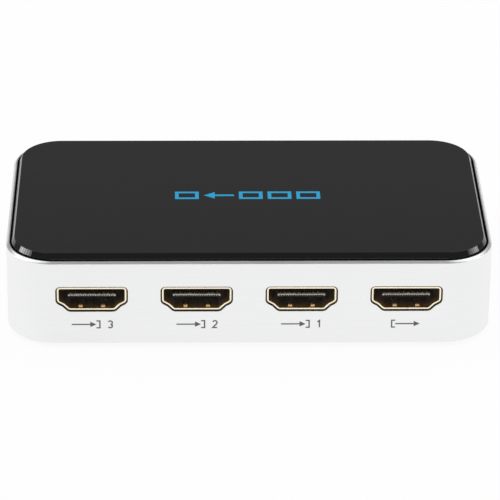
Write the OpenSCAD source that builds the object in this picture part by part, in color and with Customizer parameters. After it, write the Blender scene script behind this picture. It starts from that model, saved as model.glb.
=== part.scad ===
// Video switch box: three inputs, one output, in a flat case.
// An aluminium band is closed by a bevelled gloss cover above and a screwed tray below.
// The origin is the bottom centre and +Z is up. The sockets face -Y and the button faces +Y.

/* [Case] */
// Width of the case, along X
case_w = 104; // [100:0.5:124]
// Depth of the case, along Y
case_d = 60; // [58:0.5:80]
// Height of the aluminium band
band_h = 19.5; // [18:0.5:26]
// Outer corner radius seen from above
corner_r = 10.5; // [8:0.5:13]
// Wall of the band between its two ledges
band_wall = 2.4; // [2:0.1:3]
// Width of the rim that shows round the cover
rim_w = 0.75; // [0.7:0.05:1.2]
// Chamfer on the outer edges of the band
rim_chamfer = 0.35; // [0.1:0.05:0.5]

/* [Cover] */
// Thickness of the cover plate
cover_t = 2.4; // [2:0.1:3.2]
// Height of the cover above the rim
cover_proud = 1.3; // [0.8:0.05:1.8]
// Width of the bevel round the cover
cover_bevel_w = 0.65; // [0.3:0.05:1.2]
// Height of the bevel round the cover
cover_bevel_h = 1.15; // [0.3:0.05:1.4]
// Groove between the cover and the rim
cover_gap = 0.4; // [0.15:0.05:0.6]

/* [Tray] */
// Thickness of the tray
tray_t = 1.6; // [1.4:0.1:2.2]
// Gap between the tray and the rim
tray_gap = 0.2; // [0.1:0.05:0.4]
// Thickness of the locating ribs on the cover and the tray
rib_t = 1.2; // [0.8:0.1:1.6]
// Height of the locating ribs
rib_h = 1.5; // [0.8:0.1:2]
// Gap between a locating rib and the band
rib_gap = 0.2; // [0.1:0.05:0.3]

/* [Feet] */
// Radius of a foot
foot_r = 4.5; // [3:0.25:5.5]
// Height of a foot below the tray
foot_proud = 0.9; // [0.5:0.1:2]
// Depth of the seat that holds a foot
foot_seat = 0.8; // [0.4:0.1:1]
// Distance of the feet from the ends of the case
foot_inset_x = 12; // [10:0.5:16]
// Distance of the feet from the long sides of the case
foot_inset_y = 8.5; // [8:0.5:9.5]
// Chamfer on the lower edge of a foot
foot_chamfer = 0.3; // [0.1:0.1:0.5]

/* [Case screws] */
// Distance of the case screws from the ends of the case
screw_inset_x = 6.6; // [6.2:0.1:7]
// Distance of the case screws from the middle line
screw_off_y = 12.5; // [11.5:0.5:13.5]
// Radius of the screw shank
screw_r = 1.1; // [0.9:0.05:1.3]
// Radius of the screw head
screw_head_r = 2.1; // [1.8:0.05:2.3]
// Height of the screw head
screw_head_h = 1.4; // [1:0.1:1.6]
// Length of the screw below its head
screw_l = 10; // [7:0.5:12]
// Depth of the counterbore that takes the head
screw_sink = 2.2; // [1.8:0.1:2.6]
// Floor that the head clamps
screw_floor = 1.6; // [1.2:0.1:2]
// Wall round the screw in the cover's boss
boss_wall = 1.6; // [1.2:0.1:1.8]
// Wall round the counterbore in the tray's tower
tower_wall = 0.9; // [0.7:0.1:1.1]

/* [Board] */
// Thickness of the circuit board
board_t = 1.6; // [1:0.1:2]
// Gap between the board and the band
board_gap = 0.4; // [0.2:0.1:0.8]
// Distance of the board screws from the ends of the case
board_screw_inset_x = 16; // [15:0.5:19]
// Distance of the board screws from the middle line, along Y
board_screw_y = 8; // [7:0.5:10]
// Radius of a board screw
board_screw_r = 1; // [0.8:0.05:1.2]
// Length of a board screw
board_screw_l = 5; // [4:0.25:5.5]
// Radius of a board screw's head
board_head_r = 1.9; // [1.6:0.1:2.2]
// Height of a board screw's head
board_head_h = 1.3; // [1:0.1:1.6]
// Wall of a post round its screw
post_wall = 1.5; // [1.2:0.1:2]

/* [Sockets] */
// How far the row of sockets lies to the right of the middle
socket_row_x = -0.15; // [-1:0.05:1]
// Distance between neighbouring sockets
socket_pitch = 22.3; // [21:0.1:23]
// Height of the socket centres above the bottom of the band
socket_rise = 10.7; // [9.6:0.05:11.2]
// Width of a socket's mouth
mouth_w = 14; // [13.6:0.05:14.4]
// Height of a socket's mouth
mouth_h = 4.55; // [4.4:0.05:4.8]
// Height of the upright sides of the mouth
mouth_side_h = 2.75; // [2.5:0.05:3]
// How far the shoulders step in
shoulder_in = 1.2; // [1:0.05:1.4]
// How far the shoulders drop
shoulder_drop = 0.7; // [0.5:0.05:0.8]
// Width of the mouth's floor
mouth_floor_w = 9.4; // [9:0.05:10]
// Sheet thickness of the shell
shell_t = 0.4; // [0.3:0.05:0.55]
// Length of the shell
shell_l = 11.2; // [10.5:0.1:12]
// Depth of the shell's mouth behind the outer face
shell_recess = 0.3; // [0.1:0.05:0.8]
// Gap between a shell and its cut-out in the band
cutout_gap = 0.2; // [0.15:0.05:0.4]
// Width of the four legs of a shell
leg_w = 1.4; // [1:0.1:1.6]
// Length of the legs below the board
leg_under = 0.8; // [0.4:0.1:1.2]

/* [Tongues and contacts] */
// Width of the tongue
tongue_w = 10.1; // [9.9:0.05:10.4]
// Thickness of the tongue
tongue_t = 1; // [0.8:0.05:1.2]
// Depth of the tongue's tip behind the mouth
tongue_recess = 1.3; // [1:0.1:2]
// Length of the block that carries the tongue
tongue_block_l = 3; // [2.4:0.1:3.6]
// Number of contacts, alternately above and below the tongue
contact_count = 19; // [11:2:19]
// Distance between neighbouring contacts
contact_pitch = 0.5; // [0.45:0.01:0.52]
// Width of a contact
contact_w = 0.3; // [0.2:0.01:0.34]
// Sheet thickness of a contact
contact_t = 0.12; // [0.08:0.01:0.15]
// Thickness of the comb in front of the contacts' noses
comb_t = 0.3; // [0.2:0.05:0.4]
// Chamfer on the upper edge of the tongue's tip
tip_chamfer = 0.2; // [0.1:0.05:0.25]
// Chamfer on the lower edge of the tongue's tip
tip_under = 0.4; // [0.2:0.05:0.45]

/* [Front controls] */
// Distance of the select button from the left end of the case
button_inset_x = 18; // [16:0.5:22]
// Radius of the select button
button_r = 3.3; // [2.8:0.1:3.6]
// Height of the button above the face
button_proud = 0.6; // [0.4:0.05:0.8]
// Travel of the button
button_travel = 0.3; // [0.2:0.05:0.4]
// Distance between neighbouring lamps
lamp_pitch = 8; // [6:0.5:10]
// Radius of a light guide
guide_r = 1; // [0.8:0.1:1.2]
// Distance of the infra-red window from the right end of the case
ir_inset_x = 18; // [16:0.5:22]
// Radius of the infra-red window
ir_window_r = 2.6; // [2.2:0.1:2.8]

/* [Power inlet] */
// Place of the inlet along Y
inlet_y = 1; // [-1:0.5:2]
// Radius of the inlet's bore
inlet_bore_r = 1.8; // [1.6:0.05:2.2]
// Radius of the inlet's centre pin
inlet_pin_r = 0.65; // [0.5:0.05:0.7]
// Depth of the inlet's bore
inlet_bore_l = 8; // [7:0.25:9]
// Wall of the inlet's nose round its bore
inlet_wall = 1.1; // [0.9:0.1:1.3]

/* [Hidden] */
$fn = 64;

SOCKETS = ["input_3", "input_2", "input_1", "output"];
LAMPS = [1, 2, 3];
ENDS = [["left", -1], ["right", 1]];
SIDES = [["rear", -1], ["front", 1]];
CAPACITORS = [1, 2, 3, 4];

// How far a cutting shape runs past the face it cuts
cut_over = 1;
// Clearance of a screw in the hole that it taps
tap_gap = 0.05;
// Clearance of a screw in a hole that it passes through
pass_gap = 0.25;
// Clearance of a screw head in its counterbore
head_gap = 0.3;
// Clearance of a foot in its seat
foot_gap = 0.1;
// Clearance of a leg in its slot in the board
slot_gap = 0.15;
// Clearance between parts that are pressed together by hand
fit_gap = 0.05;
// Clearance of a contact in its slot
contact_gap = 0.02;
// Gap between the cover's bosses and the tray's towers, so that the screws clamp the band
clamp_gap = 0.1;
// Gap between the board and a boss that passes through it
boss_pass = 0.5;
// Gap between the board and a part that it is notched for
notch_gap = 0.3;

// Levels of the case
base_z = foot_proud;
rim_top = base_z + band_h;
ledge_top = rim_top - (cover_t - cover_proud);
ledge_low = base_z + tray_t;
cover_top = rim_top + cover_proud;
face_y = case_d / 2;
face_x = case_w / 2;
inside_y = face_y - band_wall;

// Places that are set in from the ends of the case
board_screw_x = face_x - board_screw_inset_x;
button_x = button_inset_x - face_x;
ir_x = face_x - ir_inset_x;

// Outlines of the cover, the tray and the ribs, each set in from the case
cover_set = rim_w + cover_gap;
tray_set = rim_w + tray_gap;
rib_set = band_wall + rib_gap;
board_set = band_wall + board_gap;

// Places and levels of the screws
screw_x = face_x - screw_inset_x;
screw_seat_z = base_z + screw_sink;
tower_top = screw_seat_z + screw_floor;
boss_low = tower_top + clamp_gap;
boss_r = screw_r + boss_wall;
counterbore_r = screw_head_r + head_gap;
tower_r = counterbore_r + tower_wall;

// Heads of all screws: their taper and their cross recess
head_taper = 0.3;
cross_l = 2.4;
cross_w = 0.6;
cross_h = 0.7;

// Levels of the board and the sockets
socket_z = base_z + socket_rise;
board_top = socket_z - mouth_h / 2 - shell_t;
board_low = board_top - board_t;
post_r = board_screw_r + post_wall;
mouth_y = -face_y + shell_recess;

// The four corners of the mouth's right half, from the floor upwards, and their radii
mouth_right = [
    [mouth_floor_w / 2, -mouth_h / 2],
    [mouth_w / 2 - shoulder_in, mouth_h / 2 - mouth_side_h - shoulder_drop],
    [mouth_w / 2, mouth_h / 2 - mouth_side_h],
    [mouth_w / 2, mouth_h / 2]
];
mouth_radii = [0.4, 1.2, 0.5, 0.35];
waist_corner = 1;

// Front edges of a shell's legs, from the mouth and from the back
leg_front = 3.6;
leg_rear = 2.6;
leg_places = [leg_front, shell_l - leg_rear];

// Spring tabs in the floor of a shell: a slope that rises from the root to a crest and a steep nose
tab_x = 2.4;
tab_w = 0.85;
tab_slit = 0.15;
tab_front = 0.42;
tab_l = 3.85;
tab_lift = 0.4;
tab_crest = [[0.6, 1], [0.35, 0.85], [0.15, 0.45]];

// Contacts: their bent noses, their drop behind the shell and their feet on the board
contact_bend = 0.04;
contact_heel = 0.1;
nose_y = tongue_recess + comb_t + contact_gap;
core_y = nose_y + contact_t;
tip_high = tongue_t / 2 - tip_chamfer;
tip_low = tip_under - tongue_t / 2;
contact_clear = 0.2;
contact_drop_y = shell_l + contact_clear;
contact_foot = 0.8;
guard_size = [2.5, 1.2, 0.6];
guard_off = 1.5;
guard_y = mouth_y + contact_drop_y + contact_t + contact_foot + guard_off;

// Select button, its tact switch and their places along Y
switch_size = [6, 3.2, 6];
front_z = board_top + switch_size.z / 2;
button_gap = 0.2;
button_chamfer = 0.35;
button_collar = 0.9;
button_collar_t = 0.8;
button_stem_r = 2;
button_stem_l = 0.65;
button_back_y = inside_y - fit_gap - button_collar_t - button_stem_l;
plunger_r = 1.65;
plunger_reach = 1.4;
plunger_flange = 0.55;
plunger_flange_t = 0.5;
frame_t = 0.3;
frame_gap = 0.02;
frame_leg_d = 2;
frame_front_y = button_back_y - plunger_reach;
switch_front_y = frame_front_y - frame_t;
pocket_gap = 0.2;
pocket_r = plunger_r + plunger_flange + pocket_gap;
dome_spare = 0.3;
dome_free = button_travel + dome_spare;
dome_t = 0.1;
dome_edge = 0.25;
dome_r = pocket_r - dome_edge;
pocket_l = fit_gap + plunger_flange_t + fit_gap + dome_free;

// Lamps, light guides and the infra-red receiver
lamp_size = [1.6, 1.5, 0.5];
lamp_lens_r = 0.6;
lamp_inset = 6;
lamp_y = face_y - lamp_inset;
lamp_top = board_top + lamp_size.z + lamp_lens_r;
guide_gap = 0.1;
guide_air = 0.2;
guide_proud = 0.15;
guide_collar = 0.6;
guide_collar_t = 0.6;
ir_gap = 0.1;
ir_flange = 0.8;
ir_flange_t = 0.7;
ir_sink = 0.1;
ir_size = [6.2, 3, 6.4];
ir_lens_r = 2.2;
ir_air = 0.3;
ir_front_y = inside_y - fit_gap - ir_flange_t - ir_air - ir_lens_r;

// Power inlet, along X
inlet_z = front_z;
inlet_nose_r = inlet_bore_r + inlet_wall;
inlet_hole_gap = 0.15;
inlet_sink = 0.1;
inlet_face_x = face_x - inlet_sink;
inlet_block_x = face_x - band_wall - fit_gap;
inlet_back_t = 2.2;
inlet_back_x = inlet_face_x - inlet_bore_l - inlet_back_t;
inlet_cheek = 0.3;
inlet_block_w = 2 * (inlet_nose_r + inlet_cheek);
inlet_pin_set = 1;
inlet_pin_base = 0.45;
leaf_w = 1.6;
leaf_t = 0.2;
leaf_gap = 0.1;
leaf_room = 0.7;
leaf_lift = 0.45;
leaf_front = 2.5;

// Parts on the board that nothing else depends on: place [x, y], size [x, y, z] and leads on one side
switch_chip_at = [0, -3];
switch_chip_size = [10, 10, 1.4];
switch_chip_leads = 10;
control_chip_at = [-22, 4];
control_chip_size = [5, 4, 1.5];
control_chip_leads = 5;
regulator_at = [25, -4];
regulator_size = [6.5, 3.5, 1.7];
regulator_leads = 3;
crystal_at = [-15, -4];
crystal_size = [3.2, 5, 1.2];
can_at = [24, 6];
can_r = 3.15;
can_h = 5.4;
can_base = 6.6;
can_base_h = 1;
can_neck = 0.25;
can_neck_z = 1.7;
capacitor_size = [1.6, 0.8, 0.8];
capacitor_cap = 0.3;
capacitor_lip = 0.03;
capacitor_first = [-9, 8];
capacitor_pitch = 6;
lead_pitch = 0.8;
lead_w = 0.32;
lead_t = 0.15;
lead_out = 1;
lead_heel = 0.33;

// Colours
aluminium = "gainsboro";
gloss_black = "black";
plastic_black = [0.09, 0.09, 0.1];
rubber_black = [0.14, 0.14, 0.15];
gold = [0.83, 0.66, 0.36];
steel = "silver";
board_green = [0.05, 0.3, 0.16];
chip_grey = [0.13, 0.13, 0.14];
clear_white = [0.92, 0.95, 0.97];

// Unit direction from one point to another, and the outward normal of a path that runs anticlockwise
function toward(a, b) = (b - a) / norm(b - a);
function outward(a, b) = let (along = toward(a, b)) [along.y, -along.x];

// Neighbours of a corner on a closed path
function before(path, i) = path[(i + len(path) - 1) % len(path)];
function after(path, i) = path[(i + 1) % len(path)];

// A closed path with every edge moved outwards by one distance
function grown(path, by) = [
    for (i = [0:len(path) - 1])
        let (
            n1 = outward(before(path, i), path[i]),
            n2 = outward(path[i], after(path, i))
        )
        path[i] + by * (n1 + n2) / (1 + n1 * n2)
];

// A closed path with every corner turned into an arc of its own radius
function rounded(path, radii, steps = 5) = [
    for (i = [0:len(path) - 1])
        let (
            back = toward(path[i], before(path, i)),
            on = toward(path[i], after(path, i)),
            half = acos(back * on) / 2,
            centre = path[i] + radii[i] / sin(half) * (back + on) / norm(back + on),
            first = path[i] + back * radii[i] / tan(half) - centre,
            last = path[i] + on * radii[i] / tan(half) - centre,
            start = atan2(first.y, first.x),
            sweep = atan2(cross(first, last), first * last)
        )
        for (k = [0:steps])
            centre + radii[i] * [cos(start + sweep * k / steps), sin(start + sweep * k / steps)]
];

// A list from its end to its start, and a right half with its mirror image as one list
function reversed(list) = [for (i = [len(list) - 1:-1:0]) list[i]];
function with_mirror(right) = concat(right, [for (point = reversed(right)) [-point.x, point.y]]);
function with_copy(half) = concat(half, reversed(half));

function socket_x(i) = socket_row_x + (i - (len(SOCKETS) - 1) / 2) * socket_pitch;
function lamp_x(lamp) = (lamp - (len(LAMPS) + 1) / 2) * lamp_pitch;

// Section of a socket's mouth, grown outwards; the waist is the one hollow corner
module mouth_section(grow) {
    radii = [
        for (i = [0:len(mouth_radii) - 1])
            i == waist_corner ? mouth_radii[i] - grow : mouth_radii[i] + grow
    ];
    polygon(rounded(grown(with_mirror(mouth_right), grow), with_copy(radii)));
}

// Carries a section that is drawn in X and Z along +Y
module along_y(x, y, z, length)
    translate([x, y + length, z])
        rotate([90, 0, 0])
            linear_extrude(length)
                children();

// Carries a section that is drawn in Y and Z to both sides along X
module along_x(width)
    translate([-width / 2, 0, 0])
        rotate([90, 0, 90])
            linear_extrude(width)
                children();

// Turns what stands on the origin along +Y or +X
module facing_y(x, y, z)
    translate([x, y, z])
        rotate([-90, 0, 0])
            children();

module facing_x(x, y, z)
    translate([x, y, z])
        rotate([0, 90, 0])
            children();

// A block that is centred in X and Y and stands on a level
module block(x, y, z, size)
    translate([x - size.x / 2, y - size.y / 2, z])
        cube(size);

// Sweeps an upright profile round the case; its x is measured outwards from the corner centres
module round_the_case() {
    reach_x = face_x - corner_r;
    reach_y = face_y - corner_r;
    for (turn = [0:3]) {
        along = turn % 2 == 0 ? reach_x : reach_y;
        across = turn % 2 == 0 ? reach_y : reach_x;
        rotate([0, 0, 90 * turn])
            translate([along, across, 0]) {
                rotate_extrude(angle = 90)
                    children();
                rotate([90, 0, 0])
                    linear_extrude(2 * across)
                        children();
            }
    }
}

// A ring between two levels that follows the case's outline
module case_ring(set_in, thickness, low, high) {
    outer = corner_r - set_in;
    round_the_case()
        translate([outer - thickness, low])
            square([thickness, high - low]);
}

// A plate that follows the case's outline, with an edge profile and a filled middle
module case_plate(low, high) {
    round_the_case()
        children();
    block(0, 0, low, [case_w - 2 * corner_r, case_d - 2 * corner_r, high - low]);
}

// A rounded rectangle that follows the case's outline
module case_outline(set_in) {
    r = corner_r - set_in;
    w = case_w - 2 * set_in;
    d = case_d - 2 * set_in;
    square([w - 2 * r, d], center = true);
    square([w, d - 2 * r], center = true);
    for (x = [-1, 1], y = [-1, 1])
        translate([x * (w / 2 - r), y * (d / 2 - r)])
            circle(r);
}

// Copies what it is given to the four corners of a rectangle
module at_corners(x, y)
    for (sx = [-1, 1], sy = [-1, 1])
        translate([sx * x, sy * y, 0])
            children();

// A round-headed screw with its head down and its shank up
module screw_up(r, length, head_r, head_h) {
    difference() {
        union() {
            cylinder(r = r, h = length);
            translate([0, 0, -head_h])
                cylinder(r1 = head_r - head_taper, r2 = head_r, h = head_h);
        }
        for (turn = [0, 90])
            rotate([0, 0, turn])
                block(0, 0, -head_h - cut_over, [cross_l, cross_w, cross_h + cut_over]);
    }
}

// The band: four walls in one ring, with a ledge for the cover and one for the tray
module case_band() {
    outer = corner_r;
    color(aluminium)
        difference() {
            round_the_case()
                polygon([
                    [outer - rim_w, base_z],
                    [outer - rim_chamfer, base_z],
                    [outer, base_z + rim_chamfer],
                    [outer, rim_top - rim_chamfer],
                    [outer - rim_chamfer, rim_top],
                    [outer - rim_w, rim_top],
                    [outer - rim_w, ledge_top],
                    [outer - band_wall, ledge_top],
                    [outer - band_wall, ledge_low],
                    [outer - rim_w, ledge_low]
                ]);
            for (i = [0:len(SOCKETS) - 1])
                along_y(socket_x(i), -face_y - cut_over, socket_z, band_wall + 2 * cut_over)
                    mouth_section(shell_t + cutout_gap);
            wall_hole_y(button_x, button_r + button_gap);
            wall_hole_y(ir_x, ir_window_r + ir_gap);
            for (lamp = LAMPS)
                wall_hole_y(lamp_x(lamp), guide_r + guide_gap);
            facing_x(face_x - band_wall - cut_over, inlet_y, inlet_z)
                cylinder(r = inlet_nose_r + inlet_hole_gap, h = band_wall + 2 * cut_over);
        }
}

module wall_hole_y(x, r)
    facing_y(x, inside_y - cut_over, front_z)
        cylinder(r = r, h = band_wall + 2 * cut_over);

// The cover: a bevelled plate that lies on the band's upper ledge, with a rib and four screw bosses
module top_cover() {
    outer = corner_r - cover_set;
    color(gloss_black)
        difference() {
            union() {
                case_plate(ledge_top, cover_top)
                    polygon([
                        [0, ledge_top],
                        [outer, ledge_top],
                        [outer, cover_top - cover_bevel_h],
                        [outer - cover_bevel_w, cover_top],
                        [0, cover_top]
                    ]);
                case_ring(rib_set, rib_t, ledge_top - rib_h, ledge_top);
                at_corners(screw_x, screw_off_y)
                    translate([0, 0, boss_low])
                        cylinder(r = boss_r, h = ledge_top - boss_low);
            }
            at_corners(screw_x, screw_off_y)
                translate([0, 0, boss_low - cut_over])
                    cylinder(r = screw_r + tap_gap, h = screw_l - screw_floor + 2 * cut_over);
        }
}

// The tray: a plate in the band's lower ledge, with a rib, board posts, screw towers and seats for the feet
module bottom_tray() {
    outer = corner_r - tray_set;
    color(plastic_black)
        difference() {
            union() {
                case_plate(base_z, ledge_low)
                    translate([0, base_z])
                        square([outer, tray_t]);
                case_ring(rib_set, rib_t, ledge_low, ledge_low + rib_h);
                at_corners(board_screw_x, board_screw_y)
                    translate([0, 0, ledge_low])
                        cylinder(r = post_r, h = board_low - ledge_low);
                at_corners(screw_x, screw_off_y)
                    translate([0, 0, base_z])
                        cylinder(r = tower_r, h = tower_top - base_z);
            }
            at_corners(face_x - foot_inset_x, face_y - foot_inset_y)
                translate([0, 0, base_z - cut_over])
                    cylinder(r = foot_r + foot_gap, h = foot_seat + cut_over);
            at_corners(screw_x, screw_off_y)
                translate([0, 0, base_z - cut_over]) {
                    cylinder(r = counterbore_r, h = screw_sink + cut_over);
                    cylinder(r = screw_r + pass_gap, h = tower_top - base_z + 2 * cut_over);
                }
            at_corners(board_screw_x, board_screw_y)
                translate([0, 0, board_low - (board_screw_l - board_t) - tap_gap])
                    cylinder(r = board_screw_r + tap_gap, h = board_screw_l);
        }
}

module foot(end, side)
    color(rubber_black)
        translate([end * (face_x - foot_inset_x), side * (face_y - foot_inset_y), 0])
            rotate_extrude()
                polygon([
                    [0, 0],
                    [foot_r - foot_chamfer, 0],
                    [foot_r, foot_chamfer],
                    [foot_r, foot_proud + foot_seat],
                    [0, foot_proud + foot_seat]
                ]);

module case_screws()
    color(steel)
        at_corners(screw_x, screw_off_y)
            translate([0, 0, screw_seat_z])
                screw_up(screw_r, screw_l, screw_head_r, screw_head_h);

module board_screws()
    color(steel)
        at_corners(board_screw_x, board_screw_y)
            translate([0, 0, board_top])
                mirror([0, 0, 1])
                    screw_up(board_screw_r, board_screw_l, board_head_r, board_head_h);

// The board: its outline follows the case, with holes for screws, bosses and legs
module circuit_board()
    color(board_green)
        difference() {
            translate([0, 0, board_low])
                linear_extrude(board_t)
                    case_outline(board_set);
            board_holes(board_screw_x, board_screw_y, board_screw_r + pass_gap);
            board_holes(screw_x, screw_off_y, boss_r + boss_pass);
            for (i = [0:len(SOCKETS) - 1])
                socket_legs(i, slot_gap);
            frame_legs(slot_gap);
            board_notch(button_x, button_r + button_collar, button_back_y + button_stem_l - button_travel);
            board_notch(ir_x, ir_window_r + ir_flange, inside_y - fit_gap - ir_flange_t);
        }

// A notch in the board's front edge that clears a round part behind the wall
module board_notch(x, r, back_y)
    translate([x - r - notch_gap, back_y - notch_gap, board_low - cut_over])
        cube([2 * (r + notch_gap), face_y - back_y, board_t + 2 * cut_over]);

module board_holes(x, y, r)
    at_corners(x, y)
        translate([0, 0, board_low - cut_over])
            cylinder(r = r, h = board_t + 2 * cut_over);

// The four legs of a shell, or with a gap the slots that they pass through
module socket_legs(i, gap) {
    low = board_low - leg_under;
    for (side = [-1, 1], place = leg_places)
        translate([
            socket_x(i) + side * (mouth_w + shell_t) / 2,
            mouth_y + place + leg_w / 2,
            low - gap
        ])
            block(0, 0, 0, [
                shell_t + 2 * gap,
                leg_w + 2 * gap,
                socket_z + mouth_h / 2 - mouth_side_h + shell_t - low
            ]);
}

// A socket's shell: folded sheet round the mouth, with two spring tabs cut in its floor
module socket_shell(i) {
    floor_z = -mouth_h / 2;
    color(gold)
        union() {
            difference() {
                along_y(socket_x(i), mouth_y, socket_z, shell_l)
                    mouth_section(shell_t);
                along_y(socket_x(i), mouth_y - cut_over, socket_z, shell_l + 2 * cut_over)
                    mouth_section(0);
                for (side = [-1, 1])
                    translate([
                        socket_x(i) + side * tab_x - tab_w / 2 - tab_slit,
                        mouth_y + tab_front,
                        socket_z + floor_z - shell_t - cut_over
                    ])
                        cube([tab_w + 2 * tab_slit, tab_l, shell_t + 2 * cut_over]);
            }
            for (side = [-1, 1])
                translate([socket_x(i) + side * tab_x - tab_w / 2, mouth_y + tab_front, socket_z])
                    rotate([90, 0, 90])
                        linear_extrude(tab_w)
                            polygon(concat(tab_line(floor_z), reversed(tab_line(floor_z - shell_t))));
            socket_legs(i, 0);
        }
}

// One side of a spring tab, from its root over the crest down to its nose
function tab_line(z) = concat(
    [[tab_l, z]],
    [for (point = tab_crest) [tab_slit + point[0], z + point[1] * tab_lift]],
    [[tab_slit, z]]
);

// A socket's insulator: a block that fills the back of the shell and carries the tongue, whose tip is a comb
// of windows in front of the contacts' noses, between two chamfers
module socket_tongue(i) {
    block_y = shell_l - tongue_block_l;
    slot_w = contact_w + 2 * contact_gap;
    color(plastic_black)
        translate([socket_x(i), mouth_y, socket_z])
            difference() {
                union() {
                    along_y(0, block_y, 0, tongue_block_l)
                        mouth_section(-fit_gap);
                    along_x(tongue_w)
                        polygon([
                            [tongue_recess, tip_low],
                            [tongue_recess + tip_under, -tongue_t / 2],
                            [block_y + fit_gap, -tongue_t / 2],
                            [block_y + fit_gap, tongue_t / 2],
                            [tongue_recess + tip_chamfer, tongue_t / 2],
                            [tongue_recess, tip_high]
                        ]);
                }
                for (k = [0:contact_count - 1])
                    translate([contact_x(k), 0, 0])
                        along_x(slot_w)
                            contact_slot(contact_is_upper(k), block_y);
            }
}

// Section of the slot that takes one contact: its window, the room of its nose and its groove along the tongue
module contact_slot(is_upper, block_y) {
    half = tongue_t / 2;
    room_y = tongue_recess + comb_t;
    room_low = is_upper ? tip_low - contact_gap : -half - cut_over;
    room_high = is_upper ? half + cut_over : tip_high;
    groove_low = is_upper ? half - contact_t : -half - cut_over;
    groove_high = is_upper ? half + cut_over : -half + contact_t;
    translate([tongue_recess - cut_over, tip_low])
        square([comb_t + contact_gap + cut_over, tip_high - tip_low]);
    translate([room_y, room_low])
        square([core_y - room_y, room_high - room_low]);
    translate([room_y, groove_low])
        square([block_y - room_y, groove_high - groove_low]);
    translate([block_y - contact_gap, is_upper ? half - contact_t : -half - contact_gap])
        square([tongue_block_l + cut_over, contact_t + contact_gap]);
}

function contact_x(k) = (k - (contact_count - 1) / 2) * contact_pitch;
function contact_is_upper(k) = k % 2 == 0;

// A socket's contacts: bent strips that run from the tongue's tip to the board
module socket_contacts(i)
    color(steel)
        for (k = [0:contact_count - 1])
            translate([socket_x(i) + contact_x(k), mouth_y, socket_z])
                along_x(contact_w)
                    polygon(contact_is_upper(k) ? upper_contact() : lower_contact());

function contact_tail() = [
    [contact_drop_y + contact_t, board_top - socket_z + contact_t],
    [contact_drop_y + contact_t + contact_foot, board_top - socket_z + contact_t],
    [contact_drop_y + contact_t + contact_foot, board_top - socket_z],
    [contact_drop_y, board_top - socket_z]
];

function upper_contact() = let (half = tongue_t / 2) concat(
    [
        [nose_y, tip_low],
        [nose_y, half - contact_bend],
        [nose_y + contact_bend, half],
        [contact_drop_y + contact_t, half]
    ],
    contact_tail(),
    [
        [contact_drop_y, half - contact_t],
        [core_y, half - contact_t],
        [core_y, tip_low]
    ]
);

function lower_contact() = let (half = tongue_t / 2) concat(
    [
        [nose_y, tip_high - contact_gap],
        [core_y, tip_high - contact_gap],
        [core_y, -half + contact_t],
        [contact_drop_y + contact_t, -half + contact_t]
    ],
    contact_tail(),
    [
        [contact_drop_y, -half],
        [nose_y + contact_heel, -half],
        [nose_y, -half + contact_heel]
    ]
);

// The button's cap: a stepped turning with a collar that stops it behind the wall
module button_cap()
    color(plastic_black)
        facing_y(button_x, button_back_y, front_z)
            rotate_extrude()
                polygon([
                    [0, 0],
                    [button_stem_r, 0],
                    [button_stem_r, button_stem_l],
                    [button_r + button_collar, button_stem_l],
                    [button_r + button_collar, button_stem_l + button_collar_t],
                    [button_r, button_stem_l + button_collar_t],
                    [button_r, face_y + button_proud - button_chamfer - button_back_y],
                    [button_r - button_chamfer, face_y + button_proud - button_back_y],
                    [0, face_y + button_proud - button_back_y]
                ]);

module switch_plunger() {
    flange_front = switch_front_y - fit_gap;
    color(chip_grey)
        facing_y(button_x, flange_front - plunger_flange_t, front_z) {
            cylinder(r = plunger_r + plunger_flange, h = plunger_flange_t);
            cylinder(r = plunger_r, h = button_back_y - flange_front + plunger_flange_t);
        }
}

// The snap dome that returns the button: a thin cap of a sphere on the pocket's floor
module switch_dome() {
    rise = dome_free;
    ball_r = (dome_r * dome_r + rise * rise) / (2 * rise);
    color(steel)
        facing_y(button_x, switch_front_y - pocket_l, front_z)
            intersection() {
                translate([0, 0, rise - ball_r])
                    difference() {
                        sphere(r = ball_r);
                        sphere(r = ball_r - dome_t);
                    }
                cylinder(r = dome_r, h = rise + cut_over);
            }
}

module switch_base()
    color(chip_grey)
        difference() {
            block(button_x, switch_front_y - switch_size.y / 2, board_top, switch_size);
            facing_y(button_x, switch_front_y - pocket_l, front_z)
                cylinder(r = pocket_r, h = pocket_l + cut_over);
        }

// The switch's steel frame: a plate over the plunger and two legs through the board
module switch_frame()
    color(steel)
        difference() {
            union() {
                block(button_x, switch_front_y + frame_t / 2, board_top, [
                    switch_size.x + 2 * (frame_gap + frame_t),
                    frame_t,
                    switch_size.z
                ]);
                frame_legs(0);
            }
            facing_y(button_x, switch_front_y - cut_over, front_z)
                cylinder(r = plunger_r + fit_gap, h = frame_t + 2 * cut_over);
        }

module frame_legs(gap) {
    low = board_low - leg_under;
    for (side = [-1, 1])
        block(
            button_x + side * (switch_size.x / 2 + frame_gap + frame_t / 2),
            switch_front_y + frame_t - frame_leg_d / 2,
            low - gap,
            [frame_t + 2 * gap, frame_leg_d + 2 * gap, front_z - low]
        );
}

module lamp(number)
    color(clear_white) {
        block(lamp_x(number), lamp_y, board_top, lamp_size);
        translate([lamp_x(number), lamp_y, board_top + lamp_size.z])
            intersection() {
                sphere(r = lamp_lens_r);
                cylinder(r = lamp_lens_r, h = lamp_lens_r);
            }
    }

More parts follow.
